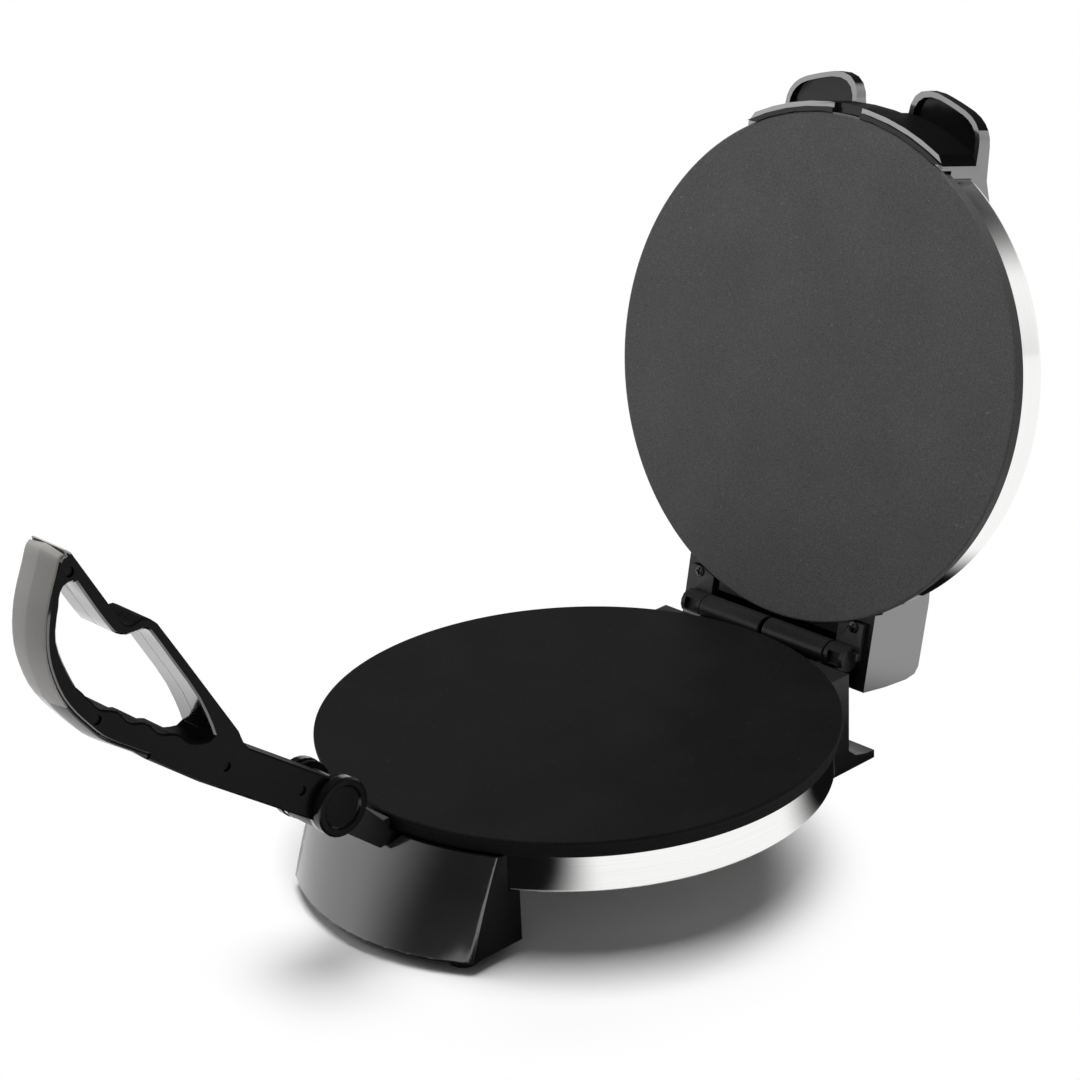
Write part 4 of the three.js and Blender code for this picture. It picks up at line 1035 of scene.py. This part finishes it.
def background_ray(tree):
    """1 for a ray from the camera, off a glossy surface or through glass, and 0 for soft light."""
    path = add_node(tree, "ShaderNodeLightPath")
    seen = add_node(tree, "ShaderNodeMath", operation="MAXIMUM")
    any_seen = add_node(tree, "ShaderNodeMath", operation="MAXIMUM")
    tree.links.new(path.outputs["Is Camera Ray"], seen.inputs[0])
    tree.links.new(path.outputs["Is Glossy Ray"], seen.inputs[1])
    tree.links.new(seen.outputs[0], any_seen.inputs[0])
    tree.links.new(path.outputs["Is Transmission Ray"], any_seen.inputs[1])
    return path, any_seen.outputs[0]


def smooth_range(tree, value, reach, low=0.0, high=1.0):
    """A value that eases from low to high while the given one runs over a reach."""
    start, end = reach
    limits = {"From_Min": start, "From_Max": end, "To_Min": low, "To_Max": high}
    ease = add_node(tree, "ShaderNodeMapRange", interpolation_type="SMOOTHSTEP", **limits)
    tree.links.new(value, ease.inputs["Value"])
    return ease.outputs["Result"]


def distance_from(tree, place, centre):
    """How far a place lies from a fixed centre."""
    distance = add_node(tree, "ShaderNodeVectorMath", operation="DISTANCE")
    distance.inputs[1].default_value = centre
    tree.links.new(place, distance.inputs[0])
    return distance.outputs["Value"]


def product(tree, first, second):
    """Two values multiplied."""
    node = add_node(tree, "ShaderNodeMath", operation="MULTIPLY")
    tree.links.new(first, node.inputs[0])
    tree.links.new(second, node.inputs[1])
    return node.outputs[0]


def blended(tree, factor, first, second):
    """Two surfaces blended, the second where the factor is 1."""
    node = add_node(tree, "ShaderNodeMixShader")
    tree.links.new(factor, node.inputs["Fac"])
    tree.links.new(first, node.inputs[1])
    tree.links.new(second, node.inputs[2])
    return node.outputs["Shader"]


def floor_material():
    """White paper that holds the shadow round the object and fades into the white background. Glossy rays also see
    painted dark patches on it, a painted reflection shade.
    """
    material, tree, shader = new_material("white_floor")
    shader.inputs["Base Color"].default_value = (FLOOR_WHITE, FLOOR_WHITE, FLOOR_WHITE, 1)
    shader.inputs["Roughness"].default_value = FLOOR_ROUGHNESS
    shader.inputs["Specular IOR Level"].default_value = FLOOR_GLOSS
    place = add_node(tree, "ShaderNodeTexCoord").outputs["Object"]
    path, seen = background_ray(tree)
    glow = add_node(tree, "ShaderNodeEmission", Strength=1.0)
    dark = add_node(tree, "ShaderNodeEmission", Strength=REFLECTION_SHADE_LEVEL)
    fade = smooth_range(tree, distance_from(tree, place, FLOOR_MIDDLE), FLOOR_FADE)
    surface = blended(tree, product(tree, fade, seen), shader.outputs["BSDF"], glow.outputs["Emission"])
    # Dark patches that only glossy rays see: painted reflection shade.
    for centre, *reach in REFLECTION_SHADE_PATCHES:
        cover = smooth_range(tree, distance_from(tree, place, centre), reach, low=1.0, high=0.0)
        shade_patch = product(tree, cover, path.outputs["Is Glossy Ray"])
        surface = blended(tree, shade_patch, surface, dark.outputs["Emission"])
    tree.links.new(surface, tree.nodes["Material Output"].inputs["Surface"])
    return material


def make_surround():
    """A white background for the camera and a weaker soft light.

    Glossy faces see it darken overhead and towards one side.
    """
    world = bpy.data.worlds.new("surround")
    bpy.context.scene.world = world
    world.use_nodes = True
    tree = world.node_tree
    background = tree.nodes["Background"]
    background.inputs["Color"].default_value = (1, 1, 1, 1)
    path, seen = background_ray(tree)
    direction = add_node(tree, "ShaderNodeTexCoord").outputs["Generated"]
    parts = add_node(tree, "ShaderNodeSeparateXYZ")
    tree.links.new(direction, parts.inputs["Vector"])
    height = smooth_range(tree, parts.outputs["Z"], CEILING_HEIGHTS, low=1.0, high=CEILING)
    side = add_node(tree, "ShaderNodeVectorMath", operation="DOT_PRODUCT")
    side.inputs[1].default_value = ROOM_SIDE
    tree.links.new(direction, side.inputs[0])
    room = smooth_range(tree, side.outputs["Value"], ROOM_REACH, low=1.0, high=ROOM)
    mirrored = add_node(tree, "ShaderNodeMix", data_type="FLOAT")
    mirrored.inputs["A"].default_value = 1.0
    tree.links.new(path.outputs["Is Glossy Ray"], mirrored.inputs["Factor"])
    tree.links.new(product(tree, height, room), mirrored.inputs["B"])
    strength = add_node(tree, "ShaderNodeMix", data_type="FLOAT")
    strength.inputs["A"].default_value = SOFT_LIGHT
    tree.links.new(seen, strength.inputs["Factor"])
    tree.links.new(mirrored.outputs["Result"], strength.inputs["B"])
    tree.links.new(strength.outputs["Result"], background.inputs["Strength"])


def make_studio():
    """The floor, the surround and the lamps."""
    make_floor()
    make_surround()
    for lamp in LAMPS:
        area_lamp(*lamp)
    bpy.context.scene.view_settings.view_transform = "Standard"


make_camera()
finish_nodes()
make_round_pieces()
make_hinge_barrels()
make_tab_screws()
make_studio()
